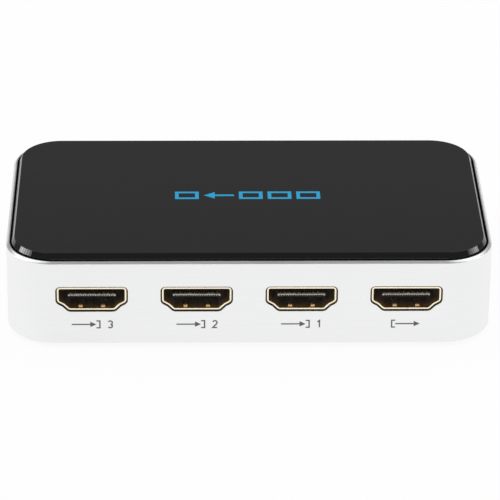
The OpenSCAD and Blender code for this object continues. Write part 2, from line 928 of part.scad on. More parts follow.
// A light guide: a rod through the wall that turns down over its lamp at a mirror face
module light_guide(number) {
    mirror_size = 2 * lamp_inset;
    color(clear_white)
        difference() {
            union() {
                facing_y(lamp_x(number), lamp_y - guide_r, front_z)
                    cylinder(r = guide_r, h = face_y + guide_proud - lamp_y + guide_r);
                facing_y(lamp_x(number), inside_y - fit_gap - guide_collar_t, front_z)
                    cylinder(r = guide_r + guide_collar, h = guide_collar_t);
                translate([lamp_x(number), lamp_y, lamp_top + guide_air])
                    cylinder(r = guide_r, h = front_z + guide_r - lamp_top - guide_air);
            }
            translate([lamp_x(number), lamp_y, front_z])
                rotate([45, 0, 0])
                    block(0, 0, 0, [mirror_size, mirror_size, mirror_size]);
        }
}

module ir_window()
    color([0.2, 0.05, 0.06])
        facing_y(ir_x, inside_y - fit_gap - ir_flange_t, front_z) {
            cylinder(r = ir_window_r + ir_flange, h = ir_flange_t);
            cylinder(r = ir_window_r, h = ir_flange_t + fit_gap + band_wall - ir_sink);
        }

module ir_receiver()
    color(chip_grey)
        union() {
            block(ir_x, ir_front_y - ir_size.y / 2, board_top, ir_size);
            facing_y(ir_x, ir_front_y, front_z)
                intersection() {
                    sphere(r = ir_lens_r);
                    translate([0, 0, -cut_over])
                        cylinder(r = ir_lens_r, h = ir_lens_r + cut_over);
                }
        }

// The inlet: a block on the board with a round nose through the wall and a bore round the pin
module inlet_body() {
    color(plastic_black)
        difference() {
            union() {
                translate([inlet_back_x, inlet_y - inlet_block_w / 2, board_top])
                    cube([inlet_block_x - inlet_back_x, inlet_block_w, inlet_z + inlet_nose_r - board_top]);
                facing_x(inlet_back_x, inlet_y, inlet_z)
                    cylinder(r = inlet_nose_r, h = inlet_face_x - inlet_back_x);
            }
            facing_x(inlet_face_x - inlet_bore_l, inlet_y, inlet_z)
                cylinder(r = inlet_bore_r, h = inlet_bore_l + cut_over);
            facing_x(inlet_back_x - cut_over, inlet_y, inlet_z)
                cylinder(r = inlet_pin_r + inlet_pin_base + tap_gap, h = inlet_back_t + 2 * cut_over);
            translate([
                inlet_back_x - cut_over,
                inlet_y - leaf_w / 2 - leaf_gap,
                inlet_z - inlet_bore_r - leaf_room
            ])
                cube([
                    inlet_face_x - leaf_front - inlet_back_x + cut_over,
                    leaf_w + 2 * leaf_gap,
                    leaf_room + leaf_lift
                ]);
        }
}

module inlet_pin()
    color(steel)
        facing_x(inlet_back_x, inlet_y, inlet_z) {
            cylinder(r = inlet_pin_r + inlet_pin_base, h = inlet_back_t);
            cylinder(r = inlet_pin_r, h = inlet_back_t + inlet_bore_l - inlet_pin_set);
        }

// The inlet's spring leaf: a bent strip in the slot under the bore
module inlet_leaf() {
    low = inlet_z - inlet_bore_r - leaf_room;
    back = inlet_back_x;
    front = inlet_face_x - leaf_front - leaf_gap;
    bend = inlet_back_x + inlet_back_t;
    color(steel)
        translate([0, inlet_y + leaf_w / 2, 0])
            rotate([90, 0, 0])
                linear_extrude(leaf_w)
                    polygon([
                        [back, low],
                        [bend, low],
                        [front - leaf_room, low + leaf_room],
                        [front, low + leaf_lift],
                        [front, low + leaf_lift + leaf_t],
                        [front - leaf_room, low + leaf_room + leaf_t],
                        [bend, low + leaf_t],
                        [back, low + leaf_t]
                    ]);
}

// One row of bent leads along +X, centred on the origin, with the package's edge at y = 0
module lead_row(count, height) {
    for (k = [0:count - 1])
        translate([(k - (count - 1) / 2) * lead_pitch - lead_w / 2, 0, 0])
            rotate([90, 0, 90])
                linear_extrude(lead_w)
                    polygon([
                        [0, height],
                        [lead_heel + lead_t, height],
                        [lead_heel + lead_t, lead_t],
                        [lead_out, lead_t],
                        [lead_out, 0],
                        [lead_heel, 0],
                        [lead_heel, height - lead_t],
                        [0, height - lead_t]
                    ]);
}

// A chip package with leads on two or four of its sides
module leaded_chip(at, size, leads_x, leads_y) {
    lift = lead_t;
    translate([at.x, at.y, board_top])
        union() {
            block(0, 0, lift, [size.x, size.y, size.z - lift]);
            for (turn = [0, 180])
                rotate([0, 0, turn]) {
                    translate([0, size.y / 2, 0])
                        lead_row(leads_x, size.z / 2);
                    if (leads_y > 0)
                        rotate([0, 0, 90])
                            translate([0, size.x / 2, 0])
                                lead_row(leads_y, size.z / 2);
                }
        }
}

module switch_chip()
    color(chip_grey)
        leaded_chip(switch_chip_at, switch_chip_size, switch_chip_leads, switch_chip_leads);

module control_chip()
    color(chip_grey)
        leaded_chip(control_chip_at, control_chip_size, control_chip_leads, 0);

module regulator()
    color(chip_grey)
        leaded_chip(regulator_at, regulator_size, regulator_leads, 0);

module crystal()
    color(steel)
        block(crystal_at.x, crystal_at.y, board_top, crystal_size);

// The reservoir capacitor: an aluminium can with a rolled neck on a square base
module reservoir_capacitor() {
    color(steel)
        translate([can_at.x, can_at.y, board_top])
            union() {
                block(0, 0, 0, [can_base, can_base, can_base_h]);
                rotate_extrude()
                    polygon([
                        [0, 0],
                        [can_r, 0],
                        [can_r, can_neck_z - can_neck],
                        [can_r - can_neck, can_neck_z],
                        [can_r, can_neck_z + can_neck],
                        [can_r, can_h - can_neck],
                        [can_r - can_neck, can_h],
                        [0, can_h]
                    ]);
            }
}

module capacitor(number) {
    inner = [capacitor_size.x, capacitor_size.y - 2 * capacitor_lip, capacitor_size.z - capacitor_lip];
    color("tan")
        translate([capacitor_first.x + (number - 1) * capacitor_pitch, capacitor_first.y, board_top])
            union() {
                block(0, 0, 0, inner);
                for (side = [-1, 1])
                    block(side * (capacitor_size.x - capacitor_cap) / 2, 0, 0, [
                        capacitor_cap,
                        capacitor_size.y,
                        capacitor_size.z
                    ]);
            }
}

module guard_chip(i)
    color(chip_grey)
        block(socket_x(i), guard_y, board_top, guard_size);

case_band();
top_cover();
bottom_tray();
case_screws();
circuit_board();
board_screws();
for (side = SIDES, end = ENDS)
    foot(end[1], side[1]);
for (i = [0:len(SOCKETS) - 1]) {
    socket_shell(i);
    socket_tongue(i);
    socket_contacts(i);
    guard_chip(i);
}
for (number = LAMPS) {
    lamp(number);
    light_guide(number);
}
for (number = CAPACITORS)
    capacitor(number);
switch_chip();
control_chip();
regulator();
crystal();
reservoir_capacitor();
ir_receiver();
ir_window();
button_cap();
switch_plunger();
switch_dome();
switch_base();
switch_frame();
inlet_body();
inlet_pin();
inlet_leaf();
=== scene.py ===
"""Studio scene of a flat video switch box: an aluminium band with a row of gold-rimmed sockets, closed by a
bevelled gloss cover above and by a screwed tray on rubber feet below. Lengths are in metres."""

import math
from contextlib import contextmanager

import bmesh
import bpy
from mathutils import Matrix, Vector


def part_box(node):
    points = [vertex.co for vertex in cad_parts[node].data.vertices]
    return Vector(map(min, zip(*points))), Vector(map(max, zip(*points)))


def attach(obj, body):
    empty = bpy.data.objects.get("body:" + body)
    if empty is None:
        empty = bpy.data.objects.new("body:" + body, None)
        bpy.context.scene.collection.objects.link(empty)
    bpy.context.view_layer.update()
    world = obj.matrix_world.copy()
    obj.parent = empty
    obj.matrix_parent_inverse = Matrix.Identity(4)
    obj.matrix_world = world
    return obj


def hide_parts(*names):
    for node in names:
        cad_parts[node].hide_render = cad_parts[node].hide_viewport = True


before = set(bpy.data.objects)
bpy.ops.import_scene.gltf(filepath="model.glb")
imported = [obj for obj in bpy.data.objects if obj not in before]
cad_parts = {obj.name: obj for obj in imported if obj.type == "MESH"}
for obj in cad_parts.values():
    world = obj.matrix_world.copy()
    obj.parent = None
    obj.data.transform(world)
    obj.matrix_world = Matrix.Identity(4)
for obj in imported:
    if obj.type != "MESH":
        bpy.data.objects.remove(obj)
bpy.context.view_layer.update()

MM = 0.001

# Case: walls, rims, ledges and the edges that catch the light
CORNER_R = 10.5 * MM
BAND_WALL = 2.4 * MM
RIM_W = 0.75 * MM
RIM_CHAMFER = 0.45 * MM
COVER_T = 2.4 * MM
COVER_GAP = 0.4 * MM
COVER_BEVEL_W = 0.65 * MM
COVER_BEVEL_H = 1.15 * MM
TRAY_T = 1.6 * MM
TRAY_GAP = 0.2 * MM
TRAY_ROUND = 0.25 * MM
RIB_T = 1.2 * MM
RIB_H = 1.5 * MM
RIB_GAP = 0.2 * MM
BAND_EDGE = 0.05 * MM
COVER_EDGE = 0.07 * MM
CORNER_STEPS = 32

# Screws and what takes them
SCREW_R = 1.1 * MM
SCREW_BORE_R = 1.15 * MM
SCREW_PASS_R = 1.35 * MM
SCREW_HEAD_R = 2.1 * MM
SCREW_HEAD_H = 1.4 * MM
SCREW_ROUND = 0.35 * MM
SCREW_TIP_R = 0.77 * MM
SCREW_TIP_L = 0.5 * MM
COUNTERBORE_R = 2.4 * MM
COUNTERBORE_H = 2.2 * MM
CROSS_L = 2.4 * MM
CROSS_W = 0.55 * MM
CROSS_H = 0.8 * MM
BOARD_HEAD_R = 1.9 * MM
BOSS_R = 2.7 * MM
BOSS_BORE_H = 9.4 * MM
TOWER_R = 3.3 * MM
TOWER_ROOF = 1.6 * MM
POST_R = 2.5 * MM
POST_BORE_R = 1.05 * MM
POST_BORE_H = 3.45 * MM

# Feet
FOOT_GAP = 0.1 * MM
FOOT_SEAT = 0.8 * MM
FOOT_ROUND = 0.35 * MM
FOOT_RING_W = 0.9 * MM
FOOT_DISH = 0.15 * MM
FOOT_MIDDLE_R = 0.3 * MM

# Video sockets: the mouth's right half from the floor upwards, with the radius of each corner
MOUTH_W = 14 * MM
MOUTH_H = 4.55 * MM
MOUTH_SIDE_H = 2.75 * MM
MOUTH_FLOOR_W = 9.4 * MM
SHOULDER_IN = 1.2 * MM
SHOULDER_DROP = 0.7 * MM
MOUTH_RADII = (0.4 * MM, 1.2 * MM, 0.5 * MM, 0.35 * MM)
WAIST = 1
ARC_STEPS = 8
SHELL_T = 0.4 * MM
SHELL_L = 11.2 * MM
SHELL_ROUND = 0.1 * MM
CUTOUT_GAP = 0.28 * MM
SEAM_W = 0.06 * MM
SEAM_X = 0.3 * MM
LEG_W = 1.4 * MM
LEG_PLACES = (3.6 * MM, 8.6 * MM)

# Spring tabs in the floor of a shell, as depth behind the mouth and height above the floor
TAB_X = 2.4 * MM
TAB_W = 0.85 * MM
TAB_SLIT = 0.15 * MM
TAB_FRONT = 0.42 * MM
TAB_L = 3.85 * MM
TAB_T = 0.25 * MM
TAB_PATH = (
    (4.27 * MM, 0.0),
    (3.1 * MM, 0.18 * MM),
    (1.7 * MM, 0.38 * MM),
    (1.15 * MM, 0.43 * MM),
    (0.88 * MM, 0.4 * MM),
    (0.72 * MM, 0.31 * MM),
    (0.65 * MM, 0.19 * MM),
    (0.62 * MM, 0.0),
)

# Front controls and the power inlet
BUTTON_R = 3.3 * MM
BUTTON_HOLE_R = 3.5 * MM
BUTTON_COLLAR_T = 0.8 * MM
BUTTON_STEM_R = 2.0 * MM
BUTTON_STEM_L = 0.65 * MM
BUTTON_ROUND = 0.35 * MM
BUTTON_RING_W = 0.5 * MM
BUTTON_DISH = 0.14 * MM
GUIDE_R = 1.0 * MM
GUIDE_HOLE_R = 1.1 * MM
GUIDE_COLLAR_T = 0.6 * MM
GUIDE_DOME = 0.12 * MM
GUIDE_LEG_IN = 6.0 * MM
GUIDE_LEG_R = 0.995 * MM
GUIDE_WALL_GAP = 0.05 * MM
WINDOW_R = 2.6 * MM
WINDOW_HOLE_R = 2.7 * MM
WINDOW_FLANGE_T = 0.7 * MM
WINDOW_DOME = 0.08 * MM
WINDOW_ROUND = 0.1 * MM
NOSE_R = 2.9 * MM
NOSE_HOLE_R = 3.05 * MM
INLET_BORE_R = 1.8 * MM
INLET_BORE_L = 8.0 * MM
INLET_ROUND = 0.2 * MM
INLET_WALL_GAP = 0.05 * MM
PIN_R = 0.65 * MM
PIN_BASE_L = 2.2 * MM
PIN_ROUND = 0.5 * MM

# Printed marks: strokes, sizes and how far the ink stands on the surface
INK_T = 0.012 * MM
LABEL_DROP = 6.0 * MM
LABEL_H = 1.95 * MM
LABEL_STROKE = 0.3 * MM
LABEL_ARROW_L = 6.0 * MM
LABEL_HEAD_L = 1.3 * MM
LABEL_HEAD_W = 1.3 * MM
LABEL_BRACKET = 0.75 * MM
LABEL_SPACE = 2.2 * MM
NUMERAL_R = 0.45 * MM
NUMERAL_FLAG = 0.55
SYMBOL_L = 31.8 * MM
SYMBOL_H = 3.7 * MM
SYMBOL_STROKE = 0.8 * MM
SYMBOL_FRAME_W = 5.2 * MM
SYMBOL_SPACE = 1.1 * MM
SYMBOL_HEAD_L = 2.4 * MM
SYMBOL_HEAD_W = 3.2 * MM
SYMBOL_Y = -0.3 * MM

# Finding faces and edges, and shading them
NEAR = 0.01 * MM
FLAT = 0.9
OVER = 1.0 * MM
TURN_SIDES = 64
SMOOTH_ANGLE = math.radians(40)
BEVEL_ANGLE = math.radians(24)

SOCKETS = ("input_3", "input_2", "input_1", "output")
FEET = ("rear_left", "rear_right", "front_left", "front_right")
LAMPS = (1, 2, 3)
AXES = {"X": Vector((1, 0, 0)), "Y": Vector((0, 1, 0)), "Z": Vector((0, 0, 1)), "-Z": Vector((0, 0, -1))}
TURNS = {
    "X": (0, math.pi / 2, 0),
    "Y": (-math.pi / 2, 0, 0),
    "Z": (0, 0, 0),
    "-Z": (math.pi, 0, 0),
}

# Levels and places that come from the frame
band_low, band_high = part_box("case_band")
cover_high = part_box("top_cover")[1]
boss_low_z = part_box("top_cover")[0].z
board_low_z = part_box("circuit_board")[0].z
ledge_top = cover_high.z - COVER_T
ledge_low = band_low.z + TRAY_T
tower_top = band_low.z + COUNTERBORE_H + TOWER_ROOF


def middle(node):
    """Middle of a node's box."""
    low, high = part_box(node)
    return (low + high) / 2


# Selecting, editing and finishing a mesh


def nothing_selected():
    """Leaves edit mode and selects nothing."""
    if bpy.context.mode != "OBJECT":
        bpy.ops.object.mode_set(mode="OBJECT")
    bpy.ops.object.select_all(action="DESELECT")


def activate(obj):
    """Selects one object alone and makes it the active one."""
    nothing_selected()
    obj.select_set(True)
    bpy.context.view_layer.objects.active = obj


def named(name):
    """The active object under its own name, with its place put into its mesh."""
    obj = bpy.context.object
    obj.name = name
    obj.data.name = name
    bpy.ops.object.transform_apply(location=True, rotation=True, scale=True)
    return obj


@contextmanager
def editing(obj):
    """Edit mode on one object."""
    activate(obj)
    bpy.ops.object.mode_set(mode="EDIT")
    yield
    bpy.ops.object.mode_set(mode="OBJECT")


def pick(obj, kind, test):
    """Selects the faces, edges or vertices of the edited mesh that pass a test, and nothing else."""
    bpy.ops.mesh.select_mode(type=kind)
    bpy.ops.mesh.select_all(action="DESELECT")
    mesh = bmesh.from_edit_mesh(obj.data)
    mesh.normal_update()
    for part in {"VERT": mesh.verts, "EDGE": mesh.edges, "FACE": mesh.faces}[kind]:
        if test(part):
            part.select_set(True)
    bmesh.update_edit_mesh(obj.data)


def draw_out(step):
    """Extrudes what is selected by one step."""
    bpy.ops.mesh.extrude_region_move(TRANSFORM_OT_translate={"value": tuple(step)})


def face_outwards():
    """Turns all faces of the edited mesh outwards."""
    bpy.ops.mesh.select_all(action="SELECT")
    bpy.ops.mesh.normals_make_consistent(inside=False)


def modify(obj, kind, **settings):
    """Adds a modifier to a piece and applies it."""
    activate(obj)
    bpy.ops.object.modifier_add(type=kind)
    modifier = obj.modifiers[-1]
    for name, value in settings.items():
        setattr(modifier, name, value)
    bpy.ops.object.modifier_apply(modifier=modifier.name)


def combine(obj, other, operation):
    """Cuts another solid out of a piece or fuses it on, and removes that solid."""
    modify(obj, "BOOLEAN", object=other, operation=operation, solver="EXACT")
    bpy.data.objects.remove(other)


def cut(obj, *others):
    for other in others:
        combine(obj, other, "DIFFERENCE")


def fuse(obj, *others):
    for other in others:
        combine(obj, other, "UNION")


def soften(obj, width, segments=2, angle=SMOOTH_ANGLE):
    """Rounds the sharp edges by a little and shades the piece smoothly between its flats."""
    modify(
        obj, "BEVEL", width=width, segments=segments, limit_method="ANGLE",
        angle_limit=angle, use_clamp_overlap=False,
    )
    shade(obj, angle)


def shade(obj, angle=SMOOTH_ANGLE):
    """Smooth shading up to an angle, weighted so that large flats stay flat."""
    activate(obj)
    bpy.ops.object.shade_smooth_by_angle(angle=angle)
    modify(obj, "WEIGHTED_NORMAL", keep_sharp=True)


def copy_to(obj, name, step):
    """A copy of a piece with its own mesh, moved by a step."""
    activate(obj)
    bpy.ops.object.duplicate()
    bpy.ops.transform.translate(value=tuple(step))
    return named(name)


def joined(name, pieces):
    """Several meshes as one piece."""
    nothing_selected()
    for piece in pieces:
        piece.select_set(True)
    bpy.context.view_layer.objects.active = pieces[0]
    bpy.ops.object.join()
    return named(name)


# Shapes that several pieces start from


def block(name, low, high):
    """A block between two corners."""
    low, high = Vector(low), Vector(high)
    nothing_selected()
    bpy.ops.mesh.primitive_cube_add(size=1, location=(low + high) / 2, scale=high - low)
    return named(name)


def is_upright(edge):
    start, end = (vertex.co for vertex in edge.verts)
    return (end - start).xy.length < NEAR


def rounded_block(name, low, high, radius):
    """A block whose upright edges are round."""
    obj = block(name, low, high)
    with editing(obj):
        pick(obj, "EDGE", is_upright)
        bpy.ops.mesh.bevel(offset=radius, segments=CORNER_STEPS, affect="EDGES")
    return obj


def case_block(name, set_in, low, high):
    """A rounded block that follows the case's outline, set in from it, between two levels."""
    inset = Vector((set_in, set_in))
    corner_low = band_low.xy + inset
    corner_high = band_high.xy - inset
    return rounded_block(name, (*corner_low, low), (*corner_high, high), CORNER_R - set_in)


def case_ring(name, set_in, thickness, low, high):
    """A ring that follows the case's outline."""
    ring = case_block(name, set_in, low, high)
    cut(ring, case_block("ring_hole", set_in + thickness, low - OVER, high + OVER))
    return ring


def turned(name, base, axis, profile, sides=TURN_SIDES):
    """A disc drawn out along an axis through a profile of radius and height above its base."""
    along = AXES[axis]
    across = [0 if abs(part) > FLAT else 1 for part in along]
    base = Vector(base)
    radius, height = profile[0]
    nothing_selected()
    bpy.ops.mesh.primitive_circle_add(
        vertices=sides, radius=radius, fill_type="NGON", location=base + along * height, rotation=TURNS[axis]
    )
    obj = named(name)
    with editing(obj):
        bpy.ops.mesh.select_all(action="SELECT")
        for (before, low), (after, high) in zip(profile, profile[1:]):
            draw_out(along * (high - low))
            share = after / before
            bpy.ops.transform.resize(
                value=[share if part else 1 for part in across],
                center_override=base + along * high,
            )
        face_outwards()
    return obj


def rod(name, radius, base, length, axis="Z"):
    """A plain round cutter or core."""
    return turned(name, base, axis, [(radius, 0), (radius, length)])


def quarter_round(radius, height, size, steps=4):
    """Profile points of a rounded outer edge that ends on a flat top."""
    turns = [math.pi / 2 * step / steps for step in range(steps + 1)]
    return [(radius - size + size * math.cos(turn), height - size + size * math.sin(turn)) for turn in turns]


def dished(radius, height, depth, steps=5):
    """Profile points of a shallow dish, or with a negative depth of a dome, from its edge to its middle."""
    shares = [1 - step / (steps + 0.5) for step in range(1, steps + 1)]
    return [(radius * share, height - depth * (1 - share * share)) for share in shares]


# Outline of a socket's mouth


def outward(start, end):
    along = (end - start).normalized()
    return Vector((along.y, -along.x))


def mouth_corners(grow):
    """The eight corners of a mouth in X and Z from its middle, with every edge moved outwards."""
    right = [
        Vector((MOUTH_FLOOR_W / 2, -MOUTH_H / 2)),
        Vector((MOUTH_W / 2 - SHOULDER_IN, MOUTH_H / 2 - MOUTH_SIDE_H - SHOULDER_DROP)),
        Vector((MOUTH_W / 2, MOUTH_H / 2 - MOUTH_SIDE_H)),
        Vector((MOUTH_W / 2, MOUTH_H / 2)),
    ]
    corners = right + [Vector((-corner.x, corner.y)) for corner in reversed(right)]
    count = len(corners)
    normals = [outward(corners[i - 1], corners[i]) for i in range(count)]
    moved = []
    for i, corner in enumerate(corners):
        first, second = normals[i], normals[(i + 1) % count]
        moved.append(corner + grow * (first + second) / (1 + first.dot(second)))
    return moved


def mouth_outline(grow):
    """Points round a mouth, with each corner as an arc; the waist is the one hollow corner."""
    corners = mouth_corners(grow)
    half = [radius - grow if i == WAIST else radius + grow for i, radius in enumerate(MOUTH_RADII)]
    radii = half + half[::-1]
    points = []
    for i, corner in enumerate(corners):
        back = (corners[i - 1] - corner).normalized()
        on = (corners[(i + 1) % len(corners)] - corner).normalized()
        half_turn = math.acos(back.dot(on)) / 2
        middle_of_arc = corner + (back + on).normalized() * radii[i] / math.sin(half_turn)
        first = corner + back * radii[i] / math.tan(half_turn) - middle_of_arc
        last = corner + on * radii[i] / math.tan(half_turn) - middle_of_arc
        start = math.atan2(first.y, first.x)
        sweep = math.atan2(first.cross(last), first.dot(last))
        for step in range(ARC_STEPS + 1):
            turn = start + sweep * step / ARC_STEPS
            points.append(middle_of_arc + radii[i] * Vector((math.cos(turn), math.sin(turn))))
    return points


def mouth_solid(name, place, grow, length, filled):
    """The mouth's outline drawn out along +Y from a place, as a closed solid or as an open tube."""
    points = mouth_outline(grow)
    nothing_selected()
    bpy.ops.mesh.primitive_circle_add(vertices=len(points), fill_type="NGON" if filled else "NOTHING")
    obj = named(name)
    for vertex, point in zip(obj.data.vertices, points):
        vertex.co = place + Vector((point.x, 0, point.y))
    with editing(obj):
        bpy.ops.mesh.select_all(action="SELECT")
        draw_out((0, length, 0))
        face_outwards()
    return obj


def mouth_middle(socket):
    """Middle of a socket's mouth, on the plane of its shell's front edge."""
    low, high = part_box(socket + "_shell")
    return Vector(((low.x + high.x) / 2, low.y, high.z - SHELL_T - MOUTH_H / 2))


# Case pieces


def recess(obj, level, ledge):
    """Sinks the flat face at one level to a ledge inside a rim, and marks out the hollow inside the ledge."""
    pick(obj, "FACE", lambda face: abs(face.normal.z) > FLAT and abs(face.verts[0].co.z - level) < NEAR)
    bpy.ops.mesh.inset(thickness=RIM_W)
    draw_out((0, 0, ledge - level))
    bpy.ops.mesh.inset(thickness=BAND_WALL - RIM_W)


def is_centred_flat(face):
    return abs(face.normal.z) > FLAT and face.calc_center_median().xy.length < NEAR


def is_outer_rim(edge):
    """An edge between the outer wall and the flat top or bottom of the rim."""
    walls = [face for face in edge.link_faces if abs(face.normal.z) < 1 - FLAT]
    flats = [face for face in edge.link_faces if abs(face.normal.z) > FLAT]
    if len(walls) != 1 or len(flats) != 1:
        return False
    return walls[0].normal.dot(walls[0].calc_center_median()) > 0


def is_in_groove(face):
    """A face of the upper ledge, or of the rim's inner wall above it."""
    place = face.calc_center_median()
    if place.z < ledge_top - NEAR or place.z > band_high.z - BAND_EDGE:
        return False
    return face.normal.z > FLAT or face.normal.xy.dot(place.xy) < 0


def make_band():
    """The band: a rounded block with a ledge above and below, hollowed, and cut out for what shows."""
    band = rounded_block("band", band_low, band_high, CORNER_R)
    with editing(band):
        recess(band, band_high.z, ledge_top)
        recess(band, band_low.z, ledge_low)
        pick(band, "FACE", is_centred_flat)
        bpy.ops.mesh.delete(type="FACE")
        bpy.ops.mesh.select_mode(type="EDGE")
        bpy.ops.mesh.select_non_manifold()
        bpy.ops.mesh.bridge_edge_loops()
        pick(band, "EDGE", is_outer_rim)
        bpy.ops.mesh.bevel(offset=RIM_CHAMFER, segments=1, affect="EDGES")
    through = BAND_WALL + 2 * OVER
    for socket in SOCKETS:
        start = mouth_middle(socket)
        start.y = band_low.y - OVER
        cut(band, mouth_solid("cutout", start, SHELL_T + CUTOUT_GAP, through, filled=True))
    holes = [("button_cap", BUTTON_HOLE_R), ("ir_window", WINDOW_HOLE_R)]
    holes += [(f"light_guide_{lamp}", GUIDE_HOLE_R) for lamp in LAMPS]
    front_z = middle("button_cap").z
    for node, radius in holes:
        start = (middle(node).x, band_high.y - BAND_WALL - OVER, front_z)
        cut(band, rod("hole", radius, start, through, "Y"))
    inlet = middle("inlet_pin")
    start = (band_high.x - BAND_WALL - OVER, inlet.y, inlet.z)
    cut(band, rod("hole", NOSE_HOLE_R, start, through, "X"))
    soften(band, BAND_EDGE)
    band.data.materials.append(FINISHES["band_aluminium"].material)
    # The upper ledge and the rim's inner wall above it get a near-black painted shade for the shadowed groove
    # round the cover.
    band.data.materials.append(groove_painted_shade.material)
    with editing(band):
        pick(band, "FACE", is_in_groove)
        band.active_material_index = 1
        bpy.ops.object.material_slot_assign()
    return band


def corner_places(node, head_r):
    """Middles of four screws, from the box round their group and the radius of their heads."""
    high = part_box(node)[1]
    reach_x = high.x - head_r
    reach_y = high.y - head_r
    return [Vector((x * reach_x, y * reach_y, 0)) for x in (-1, 1) for y in (-1, 1)]


def screw_places():
    """Middles of the four case screws."""
    return corner_places("case_screws", SCREW_HEAD_R)


def make_cover():
    """The cover: a plate with a bevel round its top, and below it a locating rib and four screw bosses."""
    bevel_low = cover_high.z - COVER_BEVEL_H
    cover = case_block("cover", RIM_W + COVER_GAP, ledge_top, bevel_low)
    with editing(cover):
        pick(cover, "FACE", lambda face: face.normal.z > FLAT)
        bpy.ops.mesh.inset(thickness=COVER_BEVEL_W, depth=COVER_BEVEL_H)
    fuse(cover, case_ring("rib", BAND_WALL + RIB_GAP, RIB_T, ledge_top - RIB_H, ledge_top + OVER / 2))
    for place in screw_places():
        place.z = boss_low_z
        fuse(cover, rod("boss", BOSS_R, place, ledge_top - boss_low_z + OVER / 2))
        place.z -= OVER
        cut(cover, rod("bore", SCREW_BORE_R, place, BOSS_BORE_H + OVER))
    soften(cover, COVER_EDGE, segments=3, angle=BEVEL_ANGLE)
    return cover


def make_tray():
    """The tray: a plate with a rounded lower edge, foot seats, counterbored towers and board posts."""
    tray = case_block("tray", RIM_W + TRAY_GAP, band_low.z, ledge_low)
    with editing(tray):
        pick(tray, "EDGE", lambda edge: all(abs(v.co.z - band_low.z) < NEAR for v in edge.verts))
        bpy.ops.mesh.bevel(offset=TRAY_ROUND, segments=4, affect="EDGES")
    fuse(tray, case_ring("rib", BAND_WALL + RIB_GAP, RIB_T, ledge_low - OVER / 2, ledge_low + RIB_H))
    for place in corner_places("board_screws", BOARD_HEAD_R):
        base = place + Vector((0, 0, ledge_low - OVER / 2))
        fuse(tray, rod("post", POST_R, base, board_low_z - base.z))
        base.z = board_low_z - POST_BORE_H
        cut(tray, rod("bore", POST_BORE_R, base, POST_BORE_H + OVER))
    for place in screw_places():
        base = place + Vector((0, 0, band_low.z + TRAY_ROUND))
        fuse(tray, rod("tower", TOWER_R, base, tower_top - base.z))
        base.z = band_low.z - OVER
        cut(tray, rod("counterbore", COUNTERBORE_R, base, COUNTERBORE_H + OVER))
        cut(tray, rod("pass", SCREW_PASS_R, base, tower_top - base.z + OVER))
    for foot in FEET:
        low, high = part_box("foot_" + foot)
        seat_r = (high.x - low.x) / 2 + FOOT_GAP
        base = ((low.x + high.x) / 2, (low.y + high.y) / 2, band_low.z - OVER)
        cut(tray, rod("seat", seat_r, base, FOOT_SEAT + OVER))
    soften(tray, BAND_EDGE)
    return tray


def make_foot(name, node):
    """A rubber foot: a disc with a rounded lower edge and a shallow dish inside the ring it stands on."""
    low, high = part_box(node)
    radius = (high.x - low.x) / 2
    height = high.z - low.z
    base = ((low.x + high.x) / 2, (low.y + high.y) / 2, high.z)
    ring = radius - FOOT_ROUND - FOOT_RING_W
    profile = [(radius, 0)] + quarter_round(radius, height, FOOT_ROUND)
    profile += [(ring, height), (ring - FOOT_DISH, height - FOOT_DISH)]
    profile += [(ring / 2, height - FOOT_DISH), (FOOT_MIDDLE_R, height - FOOT_DISH)]
    foot = turned(name, base, "-Z", profile)
    shade(foot)
    return foot


def make_screw(place):
    """A case screw, head down: a shank, a rounded head and a cross recess."""
    low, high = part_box("case_screws")
    length = high.z - low.z
    base = Vector((place.x, place.y, high.z))
    shank_l = length - SCREW_HEAD_H
    profile = [(SCREW_TIP_R, 0), (SCREW_R, SCREW_TIP_L), (SCREW_R, shank_l), (SCREW_HEAD_R, shank_l)]
    profile += quarter_round(SCREW_HEAD_R, length, SCREW_ROUND)
    profile += dished(SCREW_HEAD_R - SCREW_ROUND, length, 0)
    screw = turned("case_screw", base, "-Z", profile, sides=40)
    face = Vector((place.x, place.y, low.z))
    for length_x, length_y in ((CROSS_L, CROSS_W), (CROSS_W, CROSS_L)):
        arm_low = face - Vector((length_x / 2, length_y / 2, OVER))
        arm_high = face + Vector((length_x / 2, length_y / 2, CROSS_H))
        cut(screw, block("arm", arm_low, arm_high))
    shade(screw)
    return screw


# Video sockets


def make_tab(mouth, side):
    """A spring tab: a strip drawn from its root over a crest to a steep nose and given its thickness."""
    x = mouth.x + side * TAB_X
    floor_z = mouth.z - MOUTH_H / 2
    path = [Vector((x, mouth.y + depth, floor_z + height)) for depth, height in TAB_PATH]
    nothing_selected()
    bpy.ops.mesh.primitive_plane_add(size=TAB_W)
    tab = named("tab")
    for vertex in tab.data.vertices:
        end = path[0] if vertex.co.y > 0 else path[1]
        vertex.co = Vector((x + vertex.co.x, end.y, end.z))
    with editing(tab):
        for before, after in zip(path[1:], path[2:]):
            pick(tab, "EDGE", lambda edge: all(abs(v.co.y - before.y) < NEAR for v in edge.verts))
            draw_out(after - before)
        face_outwards()
    modify(tab, "SOLIDIFY", thickness=TAB_T, offset=-1)
    return tab


def is_sheet_edge(edge, ends):
    """An edge between a side of the sheet and one of its cut ends."""
    if len(edge.link_faces) != 2 or min(abs(face.normal.y) for face in edge.link_faces) >= NEAR:
        return False
    return any(all(abs(v.co.y - end) < NEAR for v in edge.verts) for end in ends)


